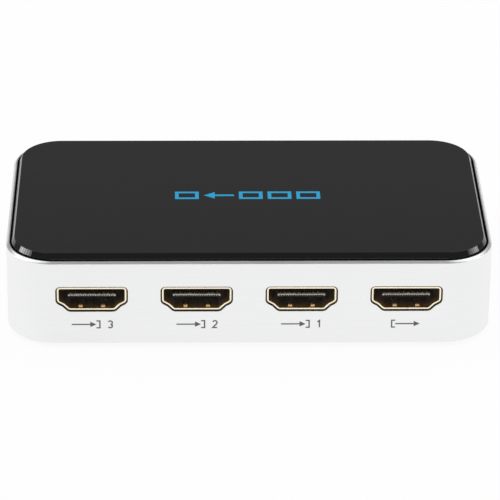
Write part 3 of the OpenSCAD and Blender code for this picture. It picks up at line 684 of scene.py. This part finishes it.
def make_shell(name, mouth):
    """A socket's shell: a folded sheet with rounded edges, a seam, four legs and two spring tabs."""
    shell = mouth_solid(name, mouth, 0, SHELL_L, filled=False)
    modify(shell, "SOLIDIFY", thickness=SHELL_T, offset=1, use_even_offset=True)
    ends = (mouth.y, mouth.y + SHELL_L)
    with editing(shell):
        pick(shell, "EDGE", lambda edge: is_sheet_edge(edge, ends))
        bpy.ops.mesh.bevel(offset=SHELL_ROUND, segments=4, affect="EDGES")
    floor_z = mouth.z - MOUTH_H / 2
    slot_half = TAB_W / 2 + TAB_SLIT
    for side in (-1, 1):
        x = mouth.x + side * TAB_X
        start_y = mouth.y + TAB_FRONT
        low = (x - slot_half, start_y, floor_z - SHELL_T - OVER)
        high = (x + slot_half, start_y + TAB_L, floor_z + OVER / 4)
        cut(shell, block("slot", low, high))
    seam_low = (mouth.x + SEAM_X - SEAM_W / 2, mouth.y - OVER, floor_z - SHELL_T - OVER)
    seam_high = (mouth.x + SEAM_X + SEAM_W / 2, mouth.y + SHELL_L + OVER, floor_z + OVER / 4)
    cut(shell, block("seam", seam_low, seam_high))
    shell_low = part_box("input_3_shell")[0].z
    leg_top = mouth.z + MOUTH_H / 2 - MOUTH_SIDE_H + SHELL_T
    for side in (-1, 1):
        for depth in LEG_PLACES:
            leg_x = mouth.x + side * (MOUTH_W + SHELL_T) / 2
            low = (leg_x - SHELL_T / 2, mouth.y + depth, shell_low)
            high = (leg_x + SHELL_T / 2, mouth.y + depth + LEG_W, leg_top)
            fuse(shell, block("leg", low, high))
    tabs = [make_tab(mouth, side) for side in (-1, 1)]
    shell = joined(name, [shell] + tabs)
    shade(shell)
    return shell


# Controls and inlet


def make_button():
    """The select button's cap: a stem, a collar behind the wall and a dished face inside a rounded ring."""
    low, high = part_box("button_cap")
    collar_r = (high.x - low.x) / 2
    height = high.y - low.y
    base = ((low.x + high.x) / 2, low.y, (low.z + high.z) / 2)
    collar_top = BUTTON_STEM_L + BUTTON_COLLAR_T
    profile = [(BUTTON_STEM_R, 0), (BUTTON_STEM_R, BUTTON_STEM_L), (collar_r, BUTTON_STEM_L)]
    profile += [(collar_r, collar_top), (BUTTON_R, collar_top)]
    profile += quarter_round(BUTTON_R, height, BUTTON_ROUND)
    dish_r = BUTTON_R - BUTTON_ROUND - BUTTON_RING_W
    profile += [(dish_r, height)] + dished(dish_r, height, BUTTON_DISH)
    button = turned("select_button_cap", base, "Y", profile)
    shade(button)
    return button


def make_light_guide(lamp):
    """A light guide: a rod with a domed end in the wall, a collar behind it and a leg over its lamp."""
    low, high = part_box(f"light_guide_{lamp}")
    collar_r = (high.x - low.x) / 2
    x = (low.x + high.x) / 2
    z = high.z - collar_r
    lamp_y = band_high.y - GUIDE_LEG_IN
    back_y = lamp_y - GUIDE_R
    length = high.y - back_y
    collar_y = band_high.y - BAND_WALL - back_y - GUIDE_WALL_GAP
    profile = [(GUIDE_R, 0), (GUIDE_R, collar_y - GUIDE_COLLAR_T), (collar_r, collar_y - GUIDE_COLLAR_T)]
    profile += [(collar_r, collar_y), (GUIDE_R, collar_y), (GUIDE_R, length - GUIDE_DOME)]
    profile += dished(GUIDE_R, length - GUIDE_DOME, -GUIDE_DOME)
    guide = turned(f"lamp_guide_{lamp}", (x, back_y, z), "Y", profile, sides=40)
    fuse(guide, rod("leg", GUIDE_LEG_R, (x, lamp_y, low.z), z - low.z + GUIDE_R))
    with editing(guide):
        bpy.ops.mesh.select_all(action="SELECT")
        bpy.ops.mesh.bisect(
            plane_co=(x, lamp_y, z), plane_no=(0, -1, 1), clear_outer=True, use_fill=True
        )
    shade(guide)
    return guide


def make_window():
    """The infra-red window: a dark lens with a flange behind the wall and a slightly domed face."""
    low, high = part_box("ir_window")
    base = ((low.x + high.x) / 2, low.y, (low.z + high.z) / 2)
    flange_r = (high.x - low.x) / 2
    height = high.y - low.y
    edge = height - WINDOW_DOME
    profile = [(flange_r, 0), (flange_r, WINDOW_FLANGE_T), (WINDOW_R, WINDOW_FLANGE_T)]
    profile += quarter_round(WINDOW_R, edge, WINDOW_ROUND)
    profile += dished(WINDOW_R - WINDOW_ROUND, edge, -WINDOW_DOME)
    window = turned("infrared_window", base, "Y", profile)
    shade(window)
    return window


def make_inlet():
    """The inlet's body: a block on the board with a round nose through the wall and a flared bore."""
    low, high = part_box("inlet_body")
    pin = middle("inlet_pin")
    length = high.x - low.x
    body = block("power_inlet", low, (band_high.x - BAND_WALL - INLET_WALL_GAP, high.y, high.z))
    nose_profile = [(NOSE_R, 0)] + quarter_round(NOSE_R, length, INLET_ROUND)
    fuse(body, turned("nose", (low.x, pin.y, pin.z), "X", nose_profile))
    mouth_r = INLET_BORE_R + INLET_ROUND
    bore_profile = [(INLET_BORE_R, 0), (INLET_BORE_R, INLET_BORE_L - INLET_ROUND)]
    bore_profile += [(mouth_r, INLET_BORE_L), (mouth_r, INLET_BORE_L + OVER)]
    bore = turned("bore", (high.x - INLET_BORE_L, pin.y, pin.z), "X", bore_profile)
    cut(body, bore)
    soften(body, BAND_EDGE)
    return body


def make_inlet_pin():
    """The inlet's centre pin: a root in the body and a slim pin with a rounded tip."""
    low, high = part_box("inlet_pin")
    base = (low.x, (low.y + high.y) / 2, (low.z + high.z) / 2)
    root_r = (high.y - low.y) / 2
    length = high.x - low.x
    profile = [(root_r, 0), (root_r, PIN_BASE_L), (PIN_R, PIN_BASE_L)]
    profile += quarter_round(PIN_R, length, PIN_ROUND, steps=6)
    pin = turned("power_pin", base, "X", profile, sides=40)
    shade(pin)
    return pin


# Printed marks


def stroke(points, width):
    """Closed outline of a line of one width through some points."""
    points = [Vector(point) for point in points]
    left, right = [], []
    for i, point in enumerate(points):
        into = (point - points[i - 1]).normalized() if i else None
        out = (points[i + 1] - point).normalized() if i + 1 < len(points) else None
        into = into or out
        out = out or into
        first = Vector((-into.y, into.x))
        second = Vector((-out.y, out.x))
        side = (first + second) / (1 + first.dot(second)) * width / 2
        left.append(point + side)
        right.append(point - side)
    return left + right[::-1]


def flat_print(name, outlines):
    """Closed outlines as a thin flat mesh in X and Y."""
    curve = bpy.data.curves.new(name, "CURVE")
    curve.dimensions = "2D"
    curve.fill_mode = "BOTH"
    curve.extrude = INK_T / 2
    for outline in outlines:
        spline = curve.splines.new("POLY")
        spline.points.add(len(outline) - 1)
        for point, place in zip(spline.points, outline):
            point.co = (place.x, place.y, 0, 1)
        spline.use_cyclic_u = True
    obj = bpy.data.objects.new(name, curve)
    bpy.context.scene.collection.objects.link(obj)
    activate(obj)
    bpy.ops.object.convert(target="MESH")
    return bpy.context.object


def laid(obj, place, right, up):
    """Lays a flat print on a surface: its X runs to the right and its Y upwards."""
    right, up = Vector(right), Vector(up)
    matrix = Matrix((right, up, right.cross(up))).transposed().to_4x4()
    matrix.translation = place
    obj.matrix_world = matrix
    activate(obj)
    return named(obj.name)


def bracket(x, opening):
    """A square bracket that opens to one side."""
    half = (LABEL_H - LABEL_STROKE) / 2
    tip = x + opening * LABEL_BRACKET
    return stroke([(tip, half), (x, half), (x, -half), (tip, -half)], LABEL_STROKE)


def arrow(start, end, width, head_l, head_w):
    """An arrow along X with a filled head."""
    neck = end - head_l
    edge = width / 2
    upper = [(start, edge), (neck, edge), (neck, head_w / 2)]
    lower = [(x, -y) for x, y in reversed(upper)]
    return [Vector(point) for point in upper + [(end, 0)] + lower]


def arc(centre, radius, start, end, steps=12):
    """Points along a part of a circle, between two angles in degrees."""
    turns = [math.radians(start + (end - start) * step / steps) for step in range(steps + 1)]
    return [Vector(centre) + radius * Vector((math.cos(turn), math.sin(turn))) for turn in turns]


def numeral(digit, x):
    """A plain 1, 2 or 3, drawn as one line round a middle on the mark's axis."""
    half = (LABEL_H - LABEL_STROKE) / 2
    upper = (x, half - NUMERAL_R)
    lower = (x, NUMERAL_R - half)
    lines = {
        "1": [(x - NUMERAL_R, half * NUMERAL_FLAG), (x, half), (x, -half)],
        "2": arc(upper, NUMERAL_R, 160, -40) + [(x - NUMERAL_R, -half), (x + NUMERAL_R, -half)],
        "3": arc(upper, NUMERAL_R, 150, -60) + arc(lower, NUMERAL_R, 60, -150),
    }
    return stroke(lines[digit], LABEL_STROKE)


def make_socket_mark(socket):
    """The mark under a socket: an arrow into a bracket and the input's number, or an arrow out of one."""
    shape = (LABEL_STROKE, LABEL_HEAD_L, LABEL_HEAD_W)
    if socket.startswith("input"):
        length = LABEL_ARROW_L + LABEL_SPACE + NUMERAL_R
        edge = LABEL_ARROW_L - length / 2
        outlines = [
            arrow(-length / 2, edge - LABEL_BRACKET, *shape),
            bracket(edge, -1),
            numeral(socket[-1], edge + LABEL_SPACE),
        ]
    else:
        edge = -LABEL_ARROW_L / 2
        outlines = [bracket(edge, 1), arrow(edge + LABEL_BRACKET, -edge, *shape)]
    mouth = mouth_middle(socket)
    place = Vector((mouth.x, band_low.y, mouth.z - LABEL_DROP))
    return laid(flat_print(socket + "_mark", outlines), place, (1, 0, 0), (0, 0, 1))


def rectangle(start, end, height):
    """A rectangle along X round the mark's axis."""
    corners = [(start, -height / 2), (end, -height / 2), (end, height / 2), (start, height / 2)]
    return [Vector(corner) for corner in corners]


def make_cover_symbol():
    """The symbol on the cover: three frames, an arrow and one frame, drawn for a reader at the front."""
    apart = SYMBOL_FRAME_W + SYMBOL_SPACE
    starts = [apart * frame_number - SYMBOL_L / 2 for frame_number in range(3)]
    starts.append(SYMBOL_L / 2 - SYMBOL_FRAME_W)
    outlines = []
    for start in starts:
        end = start + SYMBOL_FRAME_W
        outlines.append(rectangle(start, end, SYMBOL_H))
        outlines.append(rectangle(start + SYMBOL_STROKE, end - SYMBOL_STROKE, SYMBOL_H - 2 * SYMBOL_STROKE))
    shape = (SYMBOL_STROKE, SYMBOL_HEAD_L, SYMBOL_HEAD_W)
    outlines.append(arrow(starts[2] + apart, starts[3] - SYMBOL_SPACE, *shape))
    place = Vector((0, SYMBOL_Y, cover_high.z))
    return laid(flat_print("cover_symbol", outlines), place, (-1, 0, 0), (0, -1, 0))


# Finishes


class Finish:
    """A material with one shader and patterns drawn on the piece's own coordinates."""

    def __init__(self, name, colour, roughness, metallic=0.0, sockets=None):
        self.material = bpy.data.materials.new(name)
        self.material.use_nodes = True
        self.nodes = self.material.node_tree.nodes
        self.links = self.material.node_tree.links
        self.shader = self.nodes["Principled BSDF"]
        self.shader.inputs["Base Color"].default_value = (*colour, 1)
        self.shader.inputs["Roughness"].default_value = roughness
        self.shader.inputs["Metallic"].default_value = metallic
        for socket, value in (sockets or {}).items():
            self.shader.inputs[socket].default_value = value
        self.coordinates = self.nodes.new("ShaderNodeTexCoord").outputs["Object"]

    def scaled(self, size):
        """The piece's coordinates, so that a pattern's features have that size along X, Y and Z."""
        mapping = self.nodes.new("ShaderNodeMapping")
        mapping.inputs["Scale"].default_value = [1 / length for length in size]
        self.links.new(self.coordinates, mapping.inputs["Vector"])
        return mapping.outputs["Vector"]

    def grain(self, size, detail=2.0):
        """Noise with features of one size."""
        noise = self.nodes.new("ShaderNodeTexNoise")
        noise.inputs["Scale"].default_value = 1
        noise.inputs["Detail"].default_value = detail
        self.links.new(self.scaled(size), noise.inputs["Vector"])
        return noise.outputs[0]

    def speckle(self, size, detail=2.0):
        """Noise whose features are as long as they are wide."""
        return self.grain((size, size, size), detail)

    def cells(self, size):
        """Cells of one size, dark in their middles."""
        voronoi = self.nodes.new("ShaderNodeTexVoronoi")
        voronoi.inputs["Scale"].default_value = 1
        self.links.new(self.scaled(size), voronoi.inputs["Vector"])
        return voronoi.outputs["Distance"]

    def between(self, axis, start, end):
        """A value that goes from 0 at one place along an axis to 1 at another."""
        parts = self.nodes.new("ShaderNodeSeparateXYZ")
        spread = self.nodes.new("ShaderNodeMapRange")
        for socket, value in zip(("From Min", "From Max"), (start, end)):
            spread.inputs[socket].default_value = value
        self.links.new(self.coordinates, parts.inputs[0])
        self.links.new(parts.outputs[axis], spread.inputs["Value"])
        return spread.outputs["Result"]

    def joint(self, operation, first, second):
        """Two values joined by one operation."""
        join = self.nodes.new("ShaderNodeMath")
        join.operation = operation
        for socket, value in zip(join.inputs, (first, second)):
            self.links.new(value, socket)
        return join.outputs[0]

    def colour(self, pattern, dark, light, start=0.3, end=0.7):
        return self.colours(pattern, [(start, dark), (end, light)])

    def colours(self, pattern, stops):
        """A colour at each of several values of a pattern."""
        ramp = self.nodes.new("ShaderNodeValToRGB")
        elements = ramp.color_ramp.elements
        while len(elements) < len(stops):
            elements.new(1.0)
        for element, (position, colour) in zip(elements, stops):
            element.position = position
            element.color = (*colour, 1)
        self.links.new(pattern, ramp.inputs["Fac"])
        self.links.new(ramp.outputs["Color"], self.shader.inputs["Base Color"])
        return self

    def roughness(self, pattern, low, high, start=0.3, end=0.7):
        spread = self.nodes.new("ShaderNodeMapRange")
        for socket, value in zip(("From Min", "From Max", "To Min", "To Max"), (start, end, low, high)):
            spread.inputs[socket].default_value = value
        self.links.new(pattern, spread.inputs["Value"])
        self.links.new(spread.outputs["Result"], self.shader.inputs["Roughness"])
        return self

    def bump(self, pattern, height):
        bump = self.nodes.new("ShaderNodeBump")
        bump.inputs["Distance"].default_value = height
        self.links.new(pattern, bump.inputs["Height"])
        self.links.new(bump.outputs["Normal"], self.shader.inputs["Normal"])
        return self


def grey(value, tint=0.0):
    """A neutral colour, a little cooler with a positive tint and warmer with a negative one."""
    return (value * (1 - tint), value, value * (1 + tint))


def brushed_aluminium():
    """Clear anodised aluminium with a satin grain and a trace of brushing along the band."""
    finish = Finish("brushed_aluminium", grey(0.9), 0.31, metallic=1.0)
    lines = finish.grain((9 * MM, 9 * MM, 0.16 * MM), detail=3)
    satin = finish.speckle(0.07 * MM, detail=1)
    finish.colour(lines, grey(0.89, 0.003), grey(0.92, 0.003))
    finish.roughness(lines, 0.28, 0.34)
    return finish.bump(satin, 0.0008 * MM)


def gloss_black():
    """Polished black acrylic with a trace of waviness and hairline wear."""
    finish = Finish("gloss_black", grey(0.002), 0.05, sockets={"IOR": 1.49})
    finish.roughness(finish.speckle(1.2 * MM), 0.035, 0.06)
    finish.colour(finish.speckle(7 * MM), grey(0.0018), grey(0.0026))
    return finish.bump(finish.speckle(3 * MM, detail=1), 0.0003 * MM)


def moulded(name, value, roughness, grain=0.22 * MM, depth=0.006 * MM, tint=0.0):
    """Moulded plastic with a fine eroded texture."""
    finish = Finish(name, grey(value, tint), roughness)
    texture = finish.speckle(grain, detail=3)
    finish.colour(texture, grey(value * 0.8, tint), grey(value * 1.25, tint))
    finish.roughness(texture, roughness - 0.07, roughness + 0.07)
    return finish.bump(texture, depth)


def plated(name, dark, light, roughness, depth=0.0006 * MM):
    """Bright plated metal with faint drawing lines along Y."""
    finish = Finish(name, light, roughness, metallic=1.0)
    lines = finish.grain((0.12 * MM, 1.5 * MM, 0.12 * MM))
    finish.colour(finish.grain((0.9 * MM, 1.6 * MM, 0.9 * MM)), dark, light)
    finish.roughness(lines, roughness * 0.8, roughness * 1.3)
    return finish.bump(lines, depth)


# Where the sockets' colours and painted highlights change, as depths behind the mouth and heights above its
# middle
GOLD_DEPTH = 3 * MM
EDGE_DEPTHS = (1.56 * MM, 1.5 * MM)
EDGE_HEIGHTS = (0.26 * MM, 0.32 * MM)
TOOTH_DEPTHS = (1.34 * MM, 1.31 * MM)
TOOTH_HEIGHTS = (-0.02 * MM, 0.06 * MM)


def gold_plate():
    """Flash gold on a drawn shell: pale on its front edge as a painted highlight, deeper behind it and a
    paler grey far inside as painted light.
    """
    mouth_y = mouth_middle(SOCKETS[0]).y
    finish = Finish("gold_plate", (1.0, 0.86, 0.6), 0.16, metallic=1.0)
    depth = finish.between("Y", mouth_y, mouth_y + GOLD_DEPTH)
    wear = finish.speckle(0.5 * MM)
    uneven = finish.joint("MULTIPLY", depth, finish.joint("ADD", wear, wear))
    # The palest colour is a painted highlight on the front edge; the last, paler grey one is painted light
    # deep inside the shell.
    pale, deep, painted_light_inside = (1.0, 0.9, 0.68), (0.97, 0.64, 0.29), (0.94, 0.86, 0.78)
    finish.colours(uneven, [(0.02, pale), (0.15, deep), (0.45, deep), (0.7, painted_light_inside)])
    finish.roughness(depth, 0.15, 0.42, 0.02, 0.17)
    return finish.bump(finish.grain((0.12 * MM, 1.5 * MM, 0.12 * MM)), 0.0006 * MM)


def tongue_black():
    """Moulded black insulator, with a painted highlight along the upper edge of its tip and pale painted
    highlights on the comb's teeth below it.
    """
    mouth = mouth_middle(SOCKETS[0])
    finish = moulded("tongue_black", 0.045, 0.6, depth=0.003 * MM)
    # A painted highlight along the upper front edge of the tip, broken up by noise.
    near = finish.between("Y", *(mouth.y + depth for depth in EDGE_DEPTHS))
    high = finish.between("Z", *(mouth.z + height for height in EDGE_HEIGHTS))
    wear = finish.speckle(0.5 * MM)
    edge = finish.joint("MULTIPLY", finish.joint("MULTIPLY", near, high), wear)
    # Pale painted highlights on the comb's teeth just below that edge, where the contacts' noses catch the
    # light.
    front = finish.between("Y", *(mouth.y + depth for depth in TOOTH_DEPTHS))
    above = finish.between("Z", *(mouth.z + height for height in TOOTH_HEIGHTS))
    painted_highlight = finish.joint("ADD", edge, finish.joint("MULTIPLY", front, above))
    return finish.colours(painted_highlight, [(0.0, grey(0.045)), (0.5, grey(0.17, 0.05)), (1.0, grey(0.95))])


def board_green():
    """Solder mask over a dense pattern of copper tracks."""
    finish = Finish("solder_mask", (0.01, 0.1, 0.05), 0.32)
    tracks = finish.cells((1.4 * MM, 0.7 * MM, 4 * MM))
    finish.colour(tracks, (0.008, 0.075, 0.035), (0.02, 0.16, 0.075), 0.35, 0.5)
    return finish.bump(tracks, 0.01 * MM)


def clear(name, colour, roughness, weight):
    """Clear or tinted moulded plastic."""
    finish = Finish(name, colour, roughness, sockets={"Transmission Weight": weight, "IOR": 1.49})
    return finish.roughness(finish.speckle(0.4 * MM), roughness * 0.8, roughness * 1.3)


def ink(name, dark, light):
    """Screen-printed ink with a slightly uneven coat."""
    finish = Finish(name, light, 0.5)
    coat = finish.speckle(0.25 * MM)
    finish.colour(coat, dark, light)
    return finish.roughness(coat, 0.45, 0.6)


FINISHES = {
    "band_aluminium": brushed_aluminium(),
    "cover_gloss": gloss_black(),
    "tray_plastic": moulded("tray_black", 0.022, 0.6, depth=0.012 * MM),
    "foot_rubber": moulded("foot_rubber_black", 0.028, 0.85, grain=0.12 * MM),
    "screw_steel": plated("zinc_plate", grey(0.42, 0.02), grey(0.56, 0.02), 0.3),
    "board_laminate": board_green(),
    "shell_gold": gold_plate(),
    "tongue_plastic": tongue_black(),
    "contact_metal": plated("contact_plate", (0.78, 0.76, 0.7), (0.9, 0.88, 0.82), 0.24),
    "chip_epoxy": moulded("epoxy_black", 0.025, 0.55, grain=0.08 * MM),
    "lamp_clear": clear("lamp_lens", (0.9, 0.92, 0.86), 0.2, 0.5),
    "guide_clear": clear("guide_acrylic", (0.92, 0.94, 0.95), 0.12, 0.75),
    "ceramic": moulded("fired_ceramic", 0.4, 0.5, grain=0.1 * MM, tint=-0.25),
    "can_metal": plated("drawn_can", grey(0.66), grey(0.78), 0.3),
    "ir_tint": clear("infrared_tint", (0.06, 0.006, 0.01), 0.05, 0.35),
    "button_plastic": moulded("button_black", 0.014, 0.3, depth=0.002 * MM),
    "switch_plastic": moulded("switch_black", 0.025, 0.5),
    "switch_steel": plated("bright_steel", grey(0.55), grey(0.68), 0.22),
    "inlet_plastic": moulded("inlet_black", 0.014, 0.42, depth=0.003 * MM),
}
# Near-black painted shade for the groove between the cover and the band's rim.
groove_painted_shade = moulded("groove_painted_shade", 0.012, 0.7)
label_ink = ink("label_grey", (0.17, 0.153, 0.147), (0.2, 0.183, 0.177))
symbol_ink = ink("symbol_blue", (0.008, 0.41, 0.74), (0.012, 0.46, 0.82))


def finish_piece(obj, body, slot, *nodes):
    """Gives a piece its finish, the body that it rides on and the nodes that it stands for."""
    if not obj.data.materials:
        obj.data.materials.append(FINISHES[slot].material)
    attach(obj, body)
    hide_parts(*nodes)


def finish_print(obj, finish):
    """Gives a printed mark its ink and puts it on the housing."""
    obj.data.materials.clear()
    obj.data.materials.append(finish.material)
    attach(obj, "housing")


# The object


def dress_nodes():
    """Gives every node of the frame the finish of its slot."""
    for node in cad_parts.values():
        for slot in node.material_slots:
            slot.material = FINISHES[slot.material.name].material


def build_case():
    finish_piece(make_band(), "housing", "band_aluminium", "case_band")
    finish_piece(make_cover(), "housing", "cover_gloss", "top_cover")
    finish_piece(make_tray(), "housing", "tray_plastic", "bottom_tray")
    for foot in FEET:
        node = "foot_" + foot
        finish_piece(make_foot("rubber_" + node, node), "housing", "foot_rubber", node)
    first, *others = screw_places()
    screw = make_screw(first)
    screws = [copy_to(screw, "case_screw", place - first) for place in others]
    finish_piece(joined("case_screw_set", [screw] + screws), "housing", "screw_steel", "case_screws")


def build_sockets():
    first = mouth_middle(SOCKETS[0])
    shells = [make_shell(SOCKETS[0] + "_folded_shell", first)]
    for socket in SOCKETS[1:]:
        shells.append(copy_to(shells[0], socket + "_folded_shell", mouth_middle(socket) - first))
    for socket, shell in zip(SOCKETS, shells):
        finish_piece(shell, "housing", "shell_gold", socket + "_shell")
        finish_print(make_socket_mark(socket), label_ink)


def build_controls():
    finish_piece(make_button(), "select_button", "button_plastic", "button_cap")
    for lamp in LAMPS:
        finish_piece(make_light_guide(lamp), "housing", "guide_clear", f"light_guide_{lamp}")
    finish_piece(make_window(), "housing", "ir_tint", "ir_window")
    finish_piece(make_inlet(), "housing", "inlet_plastic", "inlet_body")
    finish_piece(make_inlet_pin(), "housing", "switch_steel", "inlet_pin")
    finish_print(make_cover_symbol(), symbol_ink)


# Stage


FLOOR_SIZE = 8.0
FLOOR_COLOUR = 0.8
FLOOR_DROP = 0.05 * MM
FLOOR_GLOW = 0.9
FLOOR_WHITE = 1.03
SKY_GREY = 0.28
LIGHT_DISTANCE = 1.3
LIGHT_POWER = 4
STRIP_BOXES = 5
STRIP_W = 0.2
STRIP_H = 0.22
LENS_SENSOR = 36.0
PHOTO_SIZE = 500
PHOTO_FOCUS = 3241.8
VIEW_AZIMUTH = math.radians(-1.381)
VIEW_ELEVATION = math.radians(26.858)
VIEW_ROLL = math.radians(0.5)
VIEW_DISTANCE = 717.0 * MM
VIEW_TARGET = Vector((0.644 * MM, 0, 8.09 * MM))


def direction(azimuth, elevation):
    """Unit vector towards a place round the object; azimuth 0 is on the side of the sockets."""
    flat = math.cos(elevation)
    return Vector((math.sin(azimuth) * flat, -math.cos(azimuth) * flat, math.sin(elevation)))


def make_camera():
    """The camera as it stood for the photograph, with the picture's slight roll."""
    back = direction(VIEW_AZIMUTH, VIEW_ELEVATION)
    right = Vector((math.cos(VIEW_AZIMUTH), math.sin(VIEW_AZIMUTH), 0))
    up = back.cross(right)
    tilted_right = right * math.cos(VIEW_ROLL) + up * math.sin(VIEW_ROLL)
    tilted_up = up * math.cos(VIEW_ROLL) - right * math.sin(VIEW_ROLL)
    matrix = Matrix((tilted_right, tilted_up, back)).transposed().to_4x4()
    matrix.translation = VIEW_TARGET + back * VIEW_DISTANCE
    bpy.ops.object.camera_add()
    camera = bpy.context.object
    camera.matrix_world = matrix
    camera.data.sensor_width = LENS_SENSOR
    camera.data.lens = LENS_SENSOR * PHOTO_FOCUS / PHOTO_SIZE
    bpy.context.scene.camera = camera


def seen_directly(nodes, links):
    """1 for camera, glossy and transmission rays, 0 for the light that falls on the object."""
    path = nodes.new("ShaderNodeLightPath")
    total = path.outputs["Is Camera Ray"]
    for name in ("Is Glossy Ray", "Is Transmission Ray"):
        join = nodes.new("ShaderNodeMath")
        join.operation = "MAXIMUM"
        links.new(total, join.inputs[0])
        links.new(path.outputs[name], join.inputs[1])
        total = join.outputs[0]
    return total


def make_floor():
    """A pale floor that is seen almost white, takes the object's shadow and hides nothing from below."""
    nothing_selected()
    bpy.ops.mesh.primitive_plane_add(size=FLOOR_SIZE, location=(0, 0, -FLOOR_DROP))
    floor = named("floor")
    material = bpy.data.materials.new("pale_floor")
    material.use_nodes = True
    nodes = material.node_tree.nodes
    links = material.node_tree.links
    nodes.clear()
    matt = nodes.new("ShaderNodeBsdfDiffuse")
    matt.inputs["Color"].default_value = (*grey(FLOOR_COLOUR), 1)
    glow = nodes.new("ShaderNodeEmission")
    glow.inputs["Strength"].default_value = FLOOR_WHITE
    share = nodes.new("ShaderNodeMath")
    share.operation = "MULTIPLY"
    share.inputs[1].default_value = FLOOR_GLOW
    mix = nodes.new("ShaderNodeMixShader")
    output = nodes.new("ShaderNodeOutputMaterial")
    links.new(seen_directly(nodes, links), share.inputs[0])
    links.new(share.outputs[0], mix.inputs["Fac"])
    links.new(matt.outputs[0], mix.inputs[1])
    links.new(glow.outputs[0], mix.inputs[2])
    behind = nodes.new("ShaderNodeNewGeometry").outputs["Backfacing"]
    from_below = nodes.new("ShaderNodeMixShader")
    links.new(behind, from_below.inputs["Fac"])
    links.new(mix.outputs[0], from_below.inputs[1])
    links.new(nodes.new("ShaderNodeBsdfTransparent").outputs[0], from_below.inputs[2])
    links.new(from_below.outputs[0], output.inputs["Surface"])
    floor.data.materials.append(material)


def make_sky():
    """Soft grey light from all round, and a white backdrop for the camera."""
    world = bpy.data.worlds.new("studio")
    bpy.context.scene.world = world
    world.use_nodes = True
    nodes = world.node_tree.nodes
    links = world.node_tree.links
    nodes.clear()
    sky = nodes.new("ShaderNodeBackground")
    sky.inputs["Strength"].default_value = SKY_GREY
    backdrop = nodes.new("ShaderNodeBackground")
    path = nodes.new("ShaderNodeLightPath")
    mix = nodes.new("ShaderNodeMixShader")
    output = nodes.new("ShaderNodeOutputWorld")
    for light in (sky, backdrop):
        light.inputs["Color"].default_value = (1, 1, 1, 1)
    links.new(path.outputs["Is Camera Ray"], mix.inputs["Fac"])
    links.new(sky.outputs[0], mix.inputs[1])
    links.new(backdrop.outputs[0], mix.inputs[2])
    links.new(mix.outputs[0], output.inputs["Surface"])


def soft_box(azimuth, elevation, width, height, brightness):
    """A soft box that faces the object from a direction in degrees."""
    towards = direction(math.radians(azimuth), math.radians(elevation))
    bpy.ops.object.light_add(type="AREA", location=towards * LIGHT_DISTANCE)
    lamp = bpy.context.object
    lamp.rotation_euler = towards.to_track_quat("Z", "Y").to_euler()
    lamp.data.shape = "RECTANGLE"
    lamp.data.size = width
    lamp.data.size_y = height
    lamp.data.energy = LIGHT_POWER * width * height * brightness


def graded_strip(start, end):
    """A row of narrow soft boxes from one azimuth, elevation and brightness to another."""
    for step in range(STRIP_BOXES):
        azimuth, elevation, brightness = Vector(start).lerp(Vector(end), step / (STRIP_BOXES - 1))
        soft_box(azimuth, elevation, STRIP_W, STRIP_H, brightness)


def make_lights():
    """A large soft box, a graded strip and a low card at each end, and a low strip on the sockets' side."""
    soft_box(-97, 53, width=1.5, height=1.2, brightness=0.76)
    soft_box(97, 53, width=1.5, height=1.2, brightness=0.76)
    graded_strip((-97.5, 15, 5.8), (-70, 24.3, 2.2))
    graded_strip((96, 14, 3.1), (73, 23.2, 0.9))
    soft_box(0, 12, width=0.6, height=0.15, brightness=2.6)
    soft_box(-156, 12.4, width=0.5, height=0.25, brightness=0.8)
    soft_box(157, 14.6, width=0.5, height=0.25, brightness=0.8)


make_camera()
make_floor()
make_sky()
make_lights()
bpy.context.scene.view_settings.view_transform = "Standard"

dress_nodes()
build_case()
build_sockets()
build_controls()
